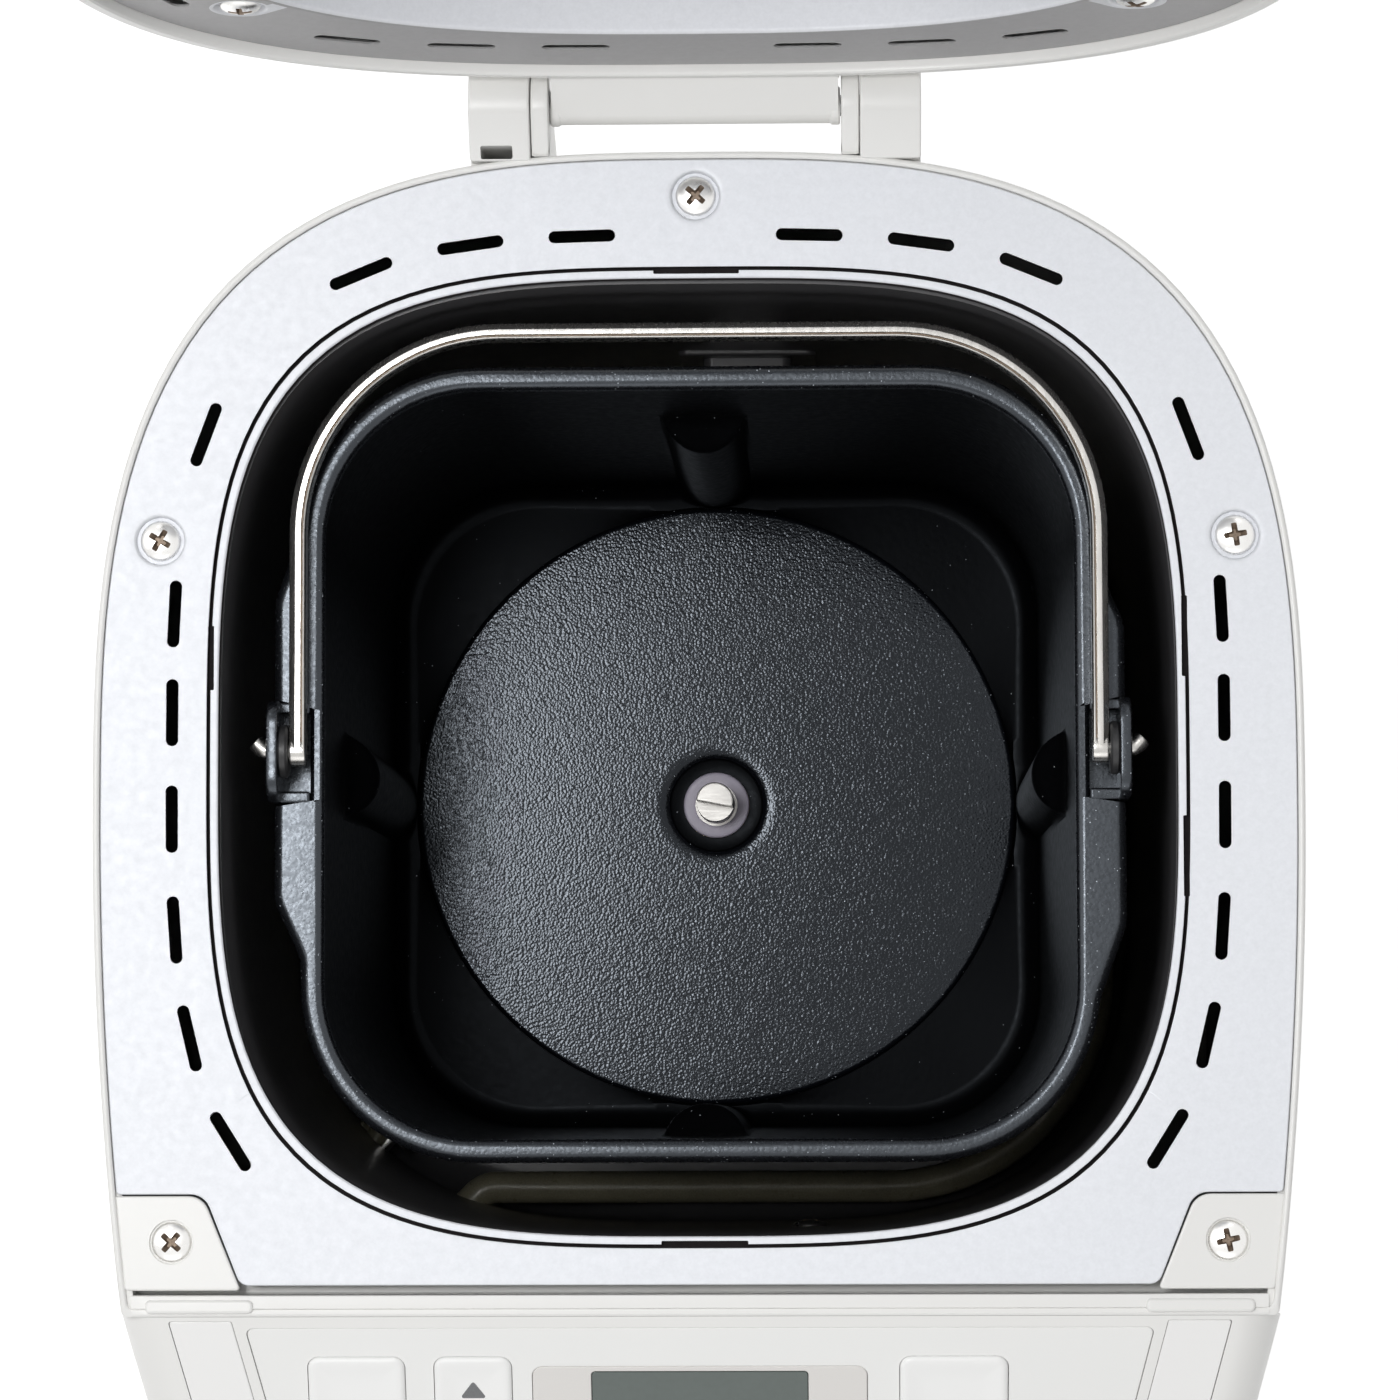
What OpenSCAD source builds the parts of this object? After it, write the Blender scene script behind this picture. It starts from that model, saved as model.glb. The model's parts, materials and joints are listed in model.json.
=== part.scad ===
// Bread machine with a hinged lid, a lift-out bread pan and a belt drive.
// Millimetres, Z up. Modules draw around the pan shaft; placed() moves the whole to the part's origin.

/* [Body] */
// Full width of the rear housing at its widest line
body_w = 225; // [219:0.5:240]
// Distance from the baking chamber out to the sides
side_margin = 22.9; // [22:0.1:26]
// Distance from the baking chamber back to the rear face
back_margin = 23.8; // [21:0.2:34]
// Distance from the baking chamber forward to the front housing
front_margin = 13.7; // [13:0.1:20]
// Depth of the front housing
front_depth = 101.7; // [97:0.1:126]
// Distance of the widest line in front of the pan shaft
widest_line = 8.2; // [0:0.2:15]
// Radius of the bowed sides in front of the widest line
side_bow = 771; // [500:1:1200]
// Roundness exponent of the rear outline
rear_roundness = 2.95; // [2.7:0.05:3.6]
// Wall of the rear housing
shell_wall = 2.6; // [2:0.1:3.2]
// Rim that stands outside the deck plate
rim_wall = 1.4; // [1:0.1:1.8]
// Height of the rim above the deck plate
rim_rise = 0.5; // [0.2:0.1:1]
// Height of the deck plate's top above the surface the machine stands on
deck_h = 228; // [224:1:250]

/* [Front housing] */
// Step by which the front housing is wider than the rear one on each side
front_step = 0.9; // [0.4:0.1:2]
// Taper of each side in plan, degrees
front_taper = 13.5; // [8:0.5:16]
// Radius of the vertical corners
front_corner_r = 28; // [16:1:34]
// Slope of the control panel, degrees
panel_slope = 25; // [20:1:30]
// Drop from the deck to the top of the slope
panel_drop = 1.5; // [0.5:0.1:3]
// Radius where the slope turns into the front face
brow_r = 14; // [8:1:20]
// Wall of the front housing
front_wall = 2.5; // [2:0.1:3]
// Thickness of the sloping top
panel_wall = 4; // [3.6:0.1:5]

/* [Control panel] */
// Distance from a trim strip out to the side
panel_margin = 9.3; // [8:0.1:11]
// Length of the fascia down the slope
fascia_len = 84; // [76:1:88]
// Gap between the top of the slope and the fascia
fascia_top = 2.4; // [2:0.1:4]
// Thickness of the fascia
fascia_t = 2; // [1.6:0.1:2.4]
// Width of the support ledge under the fascia
ledge_w = 4; // [3:0.1:5]
// Width of a side trim strip
trim_w = 11.6; // [8:0.1:13]
// Thickness of a side trim strip
trim_t = 1.2; // [0.8:0.1:1.5]
// Gap between the fascia and a trim strip
trim_gap = 2.2; // [1.5:0.1:3]
// Width of the display surround
display_w = 62; // [54:1:64]
// Height of the display surround
display_h = 34; // [26:1:38]
// Width of the display window
window_w = 40; // [30:1:46]
// Height of the display window
window_h = 20; // [14:1:22]
// Thickness of the display surround and window
display_t = 1; // [0.8:0.1:1.2]
// Height of every key along the slope
key_h = 14; // [10:0.5:16]
// Distance between the two rows of keys
key_pitch = 20.5; // [18:0.5:24]
// Width of the keys in the outer left column
wide_key_w = 18; // [12:0.5:18]
// Width of the arrow keys
arrow_key_w = 14.4; // [10:0.2:15]
// Width of the start and cancel keys
start_key_w = 20; // [14:0.5:22]
// Travel of a key
key_travel = 0.8; // [0.5:0.1:1]
// Height of a key above the fascia
key_rise = 0.9; // [0.8:0.1:1.5]

/* [Deck and chamber] */
// Height of the baking chamber's floor above the surface the machine stands on
chamber_floor = 51.8; // [51.4:0.1:56]
// Roundness exponent of the chamber
chamber_roundness = 3.4; // [3.2:0.1:3.8]
// Sheet of the chamber
chamber_t = 0.8; // [0.6:0.1:1.2]
// Sheet of the deck plate
deck_t = 0.8; // [0.6:0.1:1]
// Depth of the deck plate's turned-down lip
lip_depth = 6; // [4:0.5:7]
// Width of the ledge in front of the deck plate
front_ledge = 5; // [4.4:0.1:6]
// Width of a vent slot
slot_w = 2.3; // [1.5:0.1:3]
// Length of a vent slot
slot_len = 12.5; // [9:0.5:14]
// Distance of the vent slots from the chamber's edge
slot_offset = 8; // [6:0.5:9]
// Depth of the dimple under a screw head
dimple_depth = 0.8; // [0.5:0.1:1]
// Depth of a corner tab
tab_depth = 16.5; // [14:0.5:20]

/* [Bread pan] */
// Depth of the pan rim below the deck
pan_drop = 15; // [12:0.5:18]
// Space between the pan's mouth and the baking chamber
pan_space = 18.6; // [18.6:0.1:21]
// Draft of the pan's wall from its mouth to its floor
pan_draft = 2.5; // [2.5:0.5:5]
// Corner radius of the pan's mouth
pan_corner_r = 29; // [24:1:34]
// Wall of the pan
pan_wall = 2.2; // [1.6:0.1:2.4]
// Width of the pan's rolled rim
pan_rim_w = 4.2; // [3.4:0.1:4.4]
// Height of the pan's rolled rim
pan_rim_h = 3.4; // [2.5:0.1:4]
// Distance from the raised disc on the pan's floor to the line of the mouth
disc_space = 7.2; // [6.5:0.1:20]
// Height of the raised disc
disc_h = 2; // [1:0.1:3]
// Radius of a kneading rib
rib_r = 8.3; // [6:0.1:9]
// Depth of the rib's top below the rim
rib_drop = 35; // [25:1:60]
// Radius of the ring under the pan
base_ring_r = 55; // [48:0.5:56]
// Height of the ring under the pan
base_ring_h = 16; // [14:0.5:18]

/* [Handle] */
// Distance from the pan's mouth out to the middle of the handle's strap
handle_space = 4.3; // [4:0.1:4.6]
// Distance by which the handle is longer than the pan's half-width
handle_over = 7.2; // [5:0.2:10]
// Radius of the handle's corners
handle_corner_r = 42; // [30:1:50]
// Thickness of the strap
strap_t = 2.8; // [2.2:0.1:3]
// Width of the strap
strap_w = 5.6; // [4:0.1:6.4]
// Radius of the handle's pivot pins
handle_pin_r = 1.7; // [1.4:0.05:2]
// Height of the pivot above the pan rim
pivot_rise = 3.4; // [3.4:0.1:4]
// Distance of the pivot behind the pan shaft
pivot_back = 2; // [0:0.1:4]
// Length of a handle ear
ear_len = 19; // [16:0.5:22]

/* [Lid] */
// Height of the lid's cover
lid_h = 50; // [44:1:60]
// Height of the lid's upright side
lid_side_h = 26; // [20:1:30]
// Wall of the lid's cover
lid_wall = 2.4; // [2:0.1:3]
// Gap between the closed lid and the housing's rim
lid_gap = 0.7; // [0.5:0.1:1]
// Depth of the liner inside the lid's rim
liner_recess = 2; // [1.6:0.1:3]
// Depth of the liner's dome
liner_dome = 15; // [10:1:17]
// Opening angle of the lid, degrees
lid_open = 93; // [92:0.5:98]
// Distance of the hinge axis behind the rear face
hinge_back = 8.8; // [8:0.1:10]
// Distance of the hinge axis below the deck
hinge_drop = 2; // [1:0.1:3]
// Radius of the hinge bar
hinge_bar_r = 4; // [3.6:0.1:4.4]
// Radius of a hinge pin
hinge_pin_r = 2; // [1.5:0.1:2.4]
// Half of the space between the hinge posts
hinge_half = 27.2; // [24:0.2:32]
// Width of a hinge post
post_w = 15; // [12:0.5:20]

/* [Drive] */
// Radius of the pan shaft and the drive shaft
shaft_r = 4; // [3.5:0.1:4.4]
// Height of the pan shaft above the raised disc
shaft_rise = 15; // [12:0.5:20]
// Radius of the large pulley
pulley_r = 48; // [42:1:49]
// Radius of the motor pulley
motor_pulley_r = 8; // [7:0.5:10]
// Width of both pulleys
pulley_w = 12; // [10:0.5:12]
// Thickness of the belt
belt_t = 2; // [1.2:0.1:2.4]
// Distance of the motor's axis in front of the line where the front housing begins
motor_space = 46.7; // [43:0.1:50]
// Radius of the motor
motor_r = 31; // [28:0.5:32]
// Height of the motor's stator core
core_h = 30; // [24:1:34]
// Radius of the rotor
rotor_r = 15; // [12:0.5:17]
// Radius of the motor shaft
motor_shaft_r = 3; // [2.5:0.1:3.5]
// Radius of the heater tube
heater_r = 3.4; // [3:0.1:3.6]
// Distance from the middle of the heater tube out to the chamber's wall
heater_space = 8.1; // [7.2:0.1:8.6]
// Height of the heater above the chamber's floor
heater_rise = 14; // [10:0.5:20]

/* [Base] */
// Height of the feet
foot_h = 3; // [2:0.1:4]
// Radius of a foot
foot_r = 9; // [6:0.5:11]
// Thickness of the base tray
tray_t = 2.5; // [2:0.1:3]
// Height of the tray's locating rim
tray_rim_h = 7; // [5:0.5:10]

/* [Fits] */
// Radial clearance of a running shaft or pin
run_gap = 0.05; // [0.03:0.01:0.08]
// Radial clearance of a seated piece
seat_gap = 0.02; // [0.01:0.01:0.04]
// Clearance between neighbouring covers
cover_gap = 0.3; // [0.2:0.05:0.4]

/* [Screws] */
// Radius of a visible screw head
head_r = 3.75; // [3:0.05:4]
// Height of a screw head
head_h = 2; // [1.6:0.1:2.2]
// Radius of a screw shank
shank_r = 1.6; // [1.2:0.1:1.8]
// Length of a screw shank
shank_len = 12; // [8:0.5:14]

/* [Hidden] */
$fn = 64;

// Angle step of the formula outlines, degrees
outline_step = 3;
// Overshoot of a cutting tool past the face it cuts
cut = 1;

// Plan, measured from the pan shaft
half_w = body_w / 2;
chamber_half = half_w - side_margin;
back_reach = chamber_half + back_margin;
front_line = chamber_half + front_margin;
front_reach = front_line + front_depth;
deck_front = front_line - front_ledge;
rear_semi = back_reach + widest_line;
side_at_line = half_w - bow(front_line - widest_line);
front_half = side_at_line + front_step;
fascia_half = front_half - panel_margin - trim_w - trim_gap;
pan_half = chamber_half - pan_space;
pan_floor_half = pan_half - pan_draft;
disc_r = pan_half - disc_space;
handle_half = pan_half + handle_space;
handle_reach = pan_half + handle_over;
heater_half = chamber_half - heater_space;
motor_front = front_line + motor_space;
tray_top = foot_h + tray_t;

// Heights of the pan, from the chamber's floor upwards
socket_t = 1.7;
ring_z = chamber_floor + socket_t + cover_gap;
pan_under = ring_z + base_ring_h;
floor_z = pan_under + pan_wall;
rim_z = deck_h - pan_drop;
pan_depth = rim_z - floor_z;

// Heights from the chamber's floor downwards
chamber_under = chamber_floor - chamber_t;
heater_z = chamber_floor + heater_rise;
bearing_top = chamber_under - cover_gap;
bearing_len = 21;
bearing_above = 12;
bearing_z = bearing_top - bearing_len;
frame_t = 2;
frame_z = bearing_top - bearing_above;
frame_top = frame_z + frame_t;
pulley_top = bearing_z - cover_gap;
pulley_z = pulley_top - pulley_w;

// Heights from the deck upwards, with the lid closed
lid_z = deck_h + rim_rise + lid_gap;
liner_z = lid_z + liner_recess;
hinge_y = back_reach + hinge_back;
hinge_z = deck_h - hinge_drop;
post_play = 0.5;
post_r = hinge_back - post_play;

// The record's origin stands under the middle of the box of the machine with its lid open
lid_edge_w = 30;
lid_edge_h = lid_h - lid_side_h;
lean = lid_open - 90;
edge_y = front_line - lid_edge_w + hinge_y;
edge_z = lid_z + lid_side_h - hinge_z;
edge_reach = sqrt(pow(lid_edge_w * sin(lean), 2) + pow(lid_edge_h * cos(lean), 2));
lid_back = hinge_y + edge_y * sin(lean) + edge_z * cos(lean) + edge_reach;
origin_y = (front_reach - lid_back) / 2;

// Screw places, measured from the pan shaft
deck_screw_in = 12.5;
deck_screw_back = 8.4;
deck_screw_y = 40.7;
tab_screw_in = 9.3;
tab_screw_back = 8.8;
lid_screw_in = [32.9, 21.5];
lid_screw_y = [back_reach - 45.2, 15.3 - front_line];
base_screw_in = [12.5, 44.5];
base_screw_y = [-60, back_reach - 28.4];
post_x = [42, 35, 30];
post_y = [42, 5.3 - front_line, 19 - front_reach];
foot_in = [26.5, 42.5, 54.5];
foot_y = [-70, back_reach - 42, 25 - front_reach];
deck_screw_at = [[0, back_reach - deck_screw_back],
                 [half_w - deck_screw_in, deck_screw_y], [deck_screw_in - half_w, deck_screw_y]];
tab_screw_at = [for (s = [-1, 1]) [s * (side_at_line - tab_screw_in), tab_screw_back - deck_front]];
lid_screw_at = [for (i = [0, 1]) for (s = [-1, 1]) [s * (half_w - lid_screw_in[i]), lid_screw_y[i]]];
base_screw_at = [for (i = [0, 1]) for (s = [-1, 1]) [s * (half_w - base_screw_in[i]), base_screw_y[i]]];
frame_post_at = [for (i = [0 : 2]) for (s = [-1, 1]) [s * post_x[i], post_y[i]]];
foot_at = [for (i = [0 : 2]) for (s = [-1, 1]) [s * (half_w - foot_in[i]), foot_y[i]]];
slot_angles = [12.3, 23.7, 34.6, 56.5, 74.5, 85, 96.6, 108.2, 118.9, 129.4];

// Screws, bosses and seats
boss_r = 4.5;
boss_h = 20;
boss_rib = 3;
boss_reach = 25;
cup_rim = 1.6;
cup_hole = 1.2;
cup_z = deck_h - dimple_depth - deck_t;
screw_z = deck_h - dimple_depth;
joint_overlap = 4;
tray_rim_t = 2;
tab_t = 3;
tab_w = 15.1;
tab_slant = 6.7;
tab_r = 4;
bridge_h = 8;
ledge_drop = 0.4;
gland_r = 6;
gland_z = 24;
gland_lip = 2.5;
gland_nut = 3;
post_drop = 36;
post_root = 10;
// Ventilation slots in the base tray
vent_count = 4;
vent_pitch = 10;
vent_w = 3;
vent_len = 40;

// Control panel
slope_z = deck_h - panel_drop;
fascia_z = 0.2;
fascia_r = 5;
window_seat = 3;
display_top = 10.4;
display_y = -display_top - display_h / 2;
board_z = -13;
board_t = 1.6;
switch_h = 3.6;
switch_w = 6;
standoff_r = 2;
standoff_y = [-12, 6 - fascia_len];
key_flange = 1;
key_flange_t = 1.2;
key_stem_r = 2;
key_r = 2;
key_top = 8.4;
arrow_gap = 3.8;
wide_gap = 5.4;
start_gap = 6;
module_rim = [4, 6];
arrow_x = -display_w / 2 - arrow_gap - arrow_key_w / 2;
wide_x = arrow_x - arrow_key_w / 2 - wide_gap - wide_key_w / 2;
start_x = display_w / 2 + start_gap + start_key_w / 2;
row_y = [-key_top - key_h / 2, -key_top - key_h / 2 - key_pitch];
// Centre and width of each key
keys = [[[wide_x, row_y[0]], wide_key_w],
        [[wide_x + (wide_key_w - arrow_key_w) / 2, row_y[1]], arrow_key_w],
        [[arrow_x, row_y[0]], arrow_key_w], [[arrow_x, row_y[1]], arrow_key_w],
        [[start_x, row_y[0]], start_key_w], [[start_x, row_y[1]], start_key_w]];

// Chamber fittings
heater_corner_r = 45;
heater_bend_r = 6;
heater_arc = heater_half - heater_corner_r * (1 - cos(45));
heater_front_run = 11;
// The straight cold ends are this much slimmer than the bent tube
end_step = 0.01;
// Places along and across the diagonal through the front left corner
heater_left_x = (2 * heater_arc + heater_bend_r * sqrt(2)) * cos(45);
heater_left_y = heater_bend_r * sqrt(2) * cos(45);
heater_right_at = [heater_half - heater_corner_r + heater_front_run + heater_bend_r * sin(45),
                   heater_half + heater_bend_r * (1 - cos(45))];
heater_right_x = (heater_right_at[0] + heater_right_at[1]) * cos(45);
heater_right_y = (heater_right_at[1] - heater_right_at[0]) * cos(45);
heater_mid_y = (heater_left_y + heater_right_y) / 2;
heater_out = chamber_half * 1.25;
flange_x = chamber_half * 1.19;
flange_t = 1.5;
flange_w = 34;
flange_h = 20;
bolt_x = chamber_half + 10;
bolt_in = 1;
bolt_out = 5;
fitting_drop = 100;
fitting_gap = 0.35;
front_bolt_x = 20;
front_bolt_z = deck_h - fitting_drop;
sensor_x = 8;
sensor_z = deck_h - fitting_drop;
sensor_r = 3;
sensor_len = 8;
sensor_bed = [28, 1.5, 20];
sensor_head = [18, 5, 12];
socket_z = chamber_floor + socket_t;
socket_r = base_ring_r + 13;
socket_wall = [0.6, 3];
socket_wall_h = 9;
socket_hole_r = 20;
socket_shank = 7;
socket_screw_in = 5;
socket_screw_at = [for (a = [45 : 90 : 359]) (socket_r - socket_screw_in) * [cos(a), sin(a)]];
floor_hole_r = 12;
liner_roundness = 2.7;

// Pan and handle
pan_foot_r = 6;
rib_out = 1.3;
pan_bush_r = 8;
disc_hole_r = 9.8;
bush_len = 7;
bush_z = pan_under - bush_len;
seal_r = 7;
seal_h = 1.2;
seal_rise = 0.5;
seal_z = floor_z + seal_rise;
// The shaft is thicker up to the seal's top, and its free end has the radius shaft_r
journal_step = 0.5;
journal_r = shaft_r + journal_step;
journal_top = seal_z + seal_h;
base_ring_t = 2.2;
base_web_t = 2;
base_hole_r = 20;
// Widened rim that carries an ear, with its places behind the pivot
flange_wide = 9.4;
flange_at = [-48, -33, 24, 36];
flange_r = 6;
wing_x = pan_half + flange_wide;
wing_h = 5;
wing_w = 7;
wing_reach = 13;
wing_hub = 2.5;
flat_h = 6;
flat_depth = 0.8;
flat_turn = 11;
wing_z = bush_z - cover_gap - wing_h;
pivot_z = rim_z + pivot_rise;
disc_t = 1.8;
ear_t = 2.2;
ear_drop = 8;
ear_tab_t = 2;
ear_r = 4;
ear_rise = 3;
ear_play = 0.2;
ear_seat = pan_half + pan_wall + ear_play;
ear_x = handle_half + strap_t / 2 + disc_t + cover_gap;
pocket_h = 20;
pin_out = 2.6;
disc_rim = 3.2;

// Lid and hinge
lid_corner_r = 14;
plate_t = 2.4;
plate_h = 14;
plate_in = 2;
hinge_rib = 2;
pin_in = 6;
pin_over = 4;

// Drive
bearing_r = 10;
bearing_flange = 12;
bearing_flange_t = 3;
bush_wall = 2.5;
bush_r = shaft_r + bush_wall;
coupling_gap = 0.5;
coupling_t = 4;
coupling_rim = 2;
coupling_z = wing_z - coupling_gap - coupling_t;
dog_in = 4;
dog_w = 5;
dog_d = 6;
nut_h = 6;
pulley_flange = 1;
belt_w = pulley_w - 2 * pulley_flange - 2 * cover_gap;
frame_back = 52;
frame_half = [52, 40];
frame_r = 10;
bell_h = 16;
bell_t = 2;
bell_hub = 4;
coil_h = 10;
coil_r = motor_r - 7;
coil_gap = 2;
bolt_ring = 4.2;
bolt_head = 1.8;
shaft_over = 2;
capacitor_r = [14, 12];
capacitor_h = [52, 55];
capacitor_x = half_w - 48.5;
power_x = half_w - 50.5;
power_y = 10 - motor_front;
power_size = [1.6, 68, 76];
coil_block = [16, 24, 30];
relay_block = [12, 16, 20];
block_y = [-14, 18];
block_z = [20, 30];
core_z = frame_top + bell_h;
motor_top = core_z + core_h + bell_h;
motor_bolt_at = [for (a = [45 : 90 : 359]) (motor_r - bolt_ring) * [cos(a), sin(a)]];

function bow(y) = side_bow - sqrt(side_bow * side_bow - y * y);
function unit(v) = v / norm(v);
function sign_pow(v, p) = sign(v) * pow(abs(v), p);

// Distance from the centre to a superellipse in the direction a, measured from +Y towards +X
function super_reach(half, n, a) = half / pow(pow(abs(sin(a)), n) + pow(abs(cos(a)), n), 1 / n);
function super_point(half, n, a) = super_reach(half, n, a) * [sin(a), cos(a)];
// Direction of the outward normal there, measured from +X towards +Y
function super_normal(n, a) = atan2(sign_pow(cos(a), n - 1), sign_pow(sin(a), n - 1));
function super_outline(half, n) = [for (a = [0 : outline_step : 359]) super_point(half, n, -a)];

// Rear half of the body: from the right side over the back to the left side
function rear_points(inset) =
    [for (a = [0 : outline_step : 180])
        let (e = 2 / rear_roundness)
        [(half_w - inset) * sign_pow(cos(a), e), (rear_semi - inset) * sign_pow(sin(a), e) - widest_line]];
function side_point(inset, y) = [half_w - inset - bow(-widest_line - y), y];

// Outline of the body from its back to y = -front, with front corners of radius r
function body_outline(inset, front, r = 0.5) =
    let (steps = 4, run = front - r - widest_line,
         right = [for (i = [1 : steps]) side_point(inset, -widest_line - run * i / steps)],
         corner_x = right[steps - 1][0] - r,
         arc = [for (i = [1 : steps])
                let (a = 90 * i / steps) [corner_x + r * cos(a), -front + r - r * sin(a)]],
         side = concat(right, arc))
    concat(rear_points(inset), [for (p = side) [-p[0], p[1]]],
           [for (i = [len(side) - 1 : -1 : 0]) side[i]]);

// Points of the arc of radius r that rounds the corner b between a and c
function corner_arc(a, b, c, r, steps) =
    let (u = unit(a - b), v = unit(c - b), half = acos(u * v) / 2,
         centre = b + unit(u + v) * r / sin(half),
         p = b + u * r / tan(half) - centre, q = b + v * r / tan(half) - centre,
         start = atan2(p[1], p[0]), turn = (atan2(q[1], q[0]) - start + 540) % 360 - 180)
    r == 0 ? [b] : [for (i = [0 : steps]) let (a = start + turn * i / steps) centre + r * [cos(a), sin(a)]];
function rounded(points, radii, steps = 8) =
    let (n = len(points))
    [for (i = [0 : n - 1])
        each corner_arc(points[(i + n - 1) % n], points[i], points[(i + 1) % n], radii[i], steps)];
function rounded_square(half, r, steps = 8) =
    rounded([[-half, -half], [half, -half], [half, half], [-half, half]], [r, r, r, r], steps);

// Plan of the front housing, drawn in from its sides by inset
function front_outline(inset, back = 0) =
    let (top = front_half - inset, y = inset - front_reach,
         low = top - (front_reach - front_line) * tan(front_taper))
    rounded([[-top, back - front_line], [-low, y], [low, y], [top, back - front_line]],
            [0, front_corner_r - inset, front_corner_r - inset, 0]);
// Half-width, along the slope, of an edge that starts at half and follows the taper
function taper_half(half, y) = half + y * cos(panel_slope) * tan(front_taper);
function fascia_outline(grow, r) =
    let (top = grow - fascia_top, low = -fascia_top - fascia_len - grow)
    rounded([[-taper_half(fascia_half, top) - grow, top], [-taper_half(fascia_half, low) - grow, low],
             [taper_half(fascia_half, low) + grow, low], [taper_half(fascia_half, top) + grow, top]],
            [r, r, r, r], 6);

module placed() translate([0, origin_y, 0]) children();

module on_slope() translate([0, -front_line, slope_z]) rotate([panel_slope, 0, 0]) children();

module open_lid()
    placed() translate([0, hinge_y, hinge_z]) rotate([-lid_open, 0, 0])
        translate([0, -hinge_y, -hinge_z]) children();

module slab(points, z, h) translate([0, 0, z]) linear_extrude(height = h) polygon(points);

module at(places) for (p = places) translate([p[0], p[1], 0]) children();

module rod(r, z, h) translate([0, 0, z]) cylinder(r = r, h = h);

module ring(outer, inner, z, h) difference() {
    rod(outer, z, h);
    rod(inner, z - cut, h + 2 * cut);
}

module box(w, d, z, h) translate([-w / 2, -d / 2, z]) cube([w, d, h]);

// Closed solid through a stack of outlines with as many points each
module loft(outlines, heights) {
    n = len(outlines[0]);
    last = (len(outlines) - 1) * n;
    sides = [for (k = [0 : len(outlines) - 2]) for (i = [0 : n - 1])
        [k * n + i, (k + 1) * n + i, (k + 1) * n + (i + 1) % n, k * n + (i + 1) % n]];
    polyhedron([for (k = [0 : len(outlines) - 1]) for (p = outlines[k]) [p[0], p[1], heights[k]]],
               concat([[for (i = [0 : n - 1]) i]], sides, [[for (i = [n - 1 : -1 : 0]) last + i]]));
}

// Prism along X over an outline given as (y, z)
module side_prism(points, width)
    rotate([90, 0, 90]) translate([0, 0, -width / 2]) linear_extrude(height = width) polygon(points);

// Screw with its head's seat at z and its shank below it
module screw(z, length) {
    rod(head_r, z, head_h);
    rod(shank_r, z - length, length);
}
module screw_hole(z, length) rod(shank_r + seat_gap, z - length - cut, length + 2 * cut);

// Column for a screw, with a rib out to the wall above rib_z
module wall_boss(p, z, top, rib_z) intersection() {
    union() {
        translate([p[0], p[1], z]) cylinder(r = boss_r, h = top - z);
        translate([p[0], p[1], rib_z]) rotate([0, 0, atan2(p[1], p[0])]) translate([0, -boss_rib / 2, 0])
            cube([boss_reach, boss_rib, top - rib_z]);
    }
    slab(body_outline(shell_wall / 2, front_line), z, top - z);
}

module vent_slots(z, h) for (m = [0, 1]) mirror([m, 0, 0]) for (a = slot_angles) {
    p = super_point(chamber_half + slot_offset, chamber_roundness, a);
    translate([p[0], p[1], z - cut]) rotate([0, 0, super_normal(chamber_roundness, a) + 90]) {
        box(slot_len - slot_w, slot_w, 0, h + 2 * cut);
        for (s = [-1, 1]) translate([s * (slot_len - slot_w) / 2, 0, 0])
            cylinder(r = slot_w / 2, h = h + 2 * cut);
    }
}

// ---- Base ----

module chassis_outline(inset) {
    polygon(body_outline(inset, front_line));
    polygon(front_outline(inset, joint_overlap));
}

module base_tray() color("gainsboro") placed() difference() {
    union() {
        translate([0, 0, foot_h]) linear_extrude(height = tray_t) chassis_outline(0);
        translate([0, 0, foot_h]) linear_extrude(height = tray_t + tray_rim_h) difference() {
            chassis_outline(shell_wall + cover_gap);
            chassis_outline(shell_wall + cover_gap + tray_rim_t);
        }
        at(frame_post_at) rod(boss_r, foot_h, frame_z - foot_h);
    }
    at(frame_post_at) screw_hole(frame_top, shank_len);
    at(base_screw_at) rod(shank_r + seat_gap, foot_h - cut, tray_t + 2 * cut);
    for (i = [-vent_count : vent_count]) translate([i * vent_pitch, base_screw_y[0], foot_h - cut])
        box(vent_w, vent_len, 0, tray_t + 2 * cut);
}

module feet() color("dimgray") placed() at(foot_at) rod(foot_r, 0, foot_h);

module chassis_screws() color("silver") placed() {
    at(frame_post_at) screw(frame_top, shank_len);
    at(base_screw_at) translate([0, 0, 2 * foot_h]) mirror([0, 0, 1]) screw(foot_h, shank_len);
}

// ---- Rear housing ----

function tab_points(grow) =
    rounded([[half_w + cut, -front_line], [half_w + cut, grow - deck_front + tab_depth],
             [side_at_line - tab_w - grow, grow - deck_front + tab_depth],
             [side_at_line - tab_w - tab_slant - grow, -deck_front],
             [side_at_line - tab_w - tab_slant - grow, -front_line]], [0, 0, tab_r, 0, 0], 6);

module corner_tabs(grow, z, h) for (m = [0, 1]) mirror([m, 0, 0]) slab(tab_points(grow), z, h);

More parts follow.
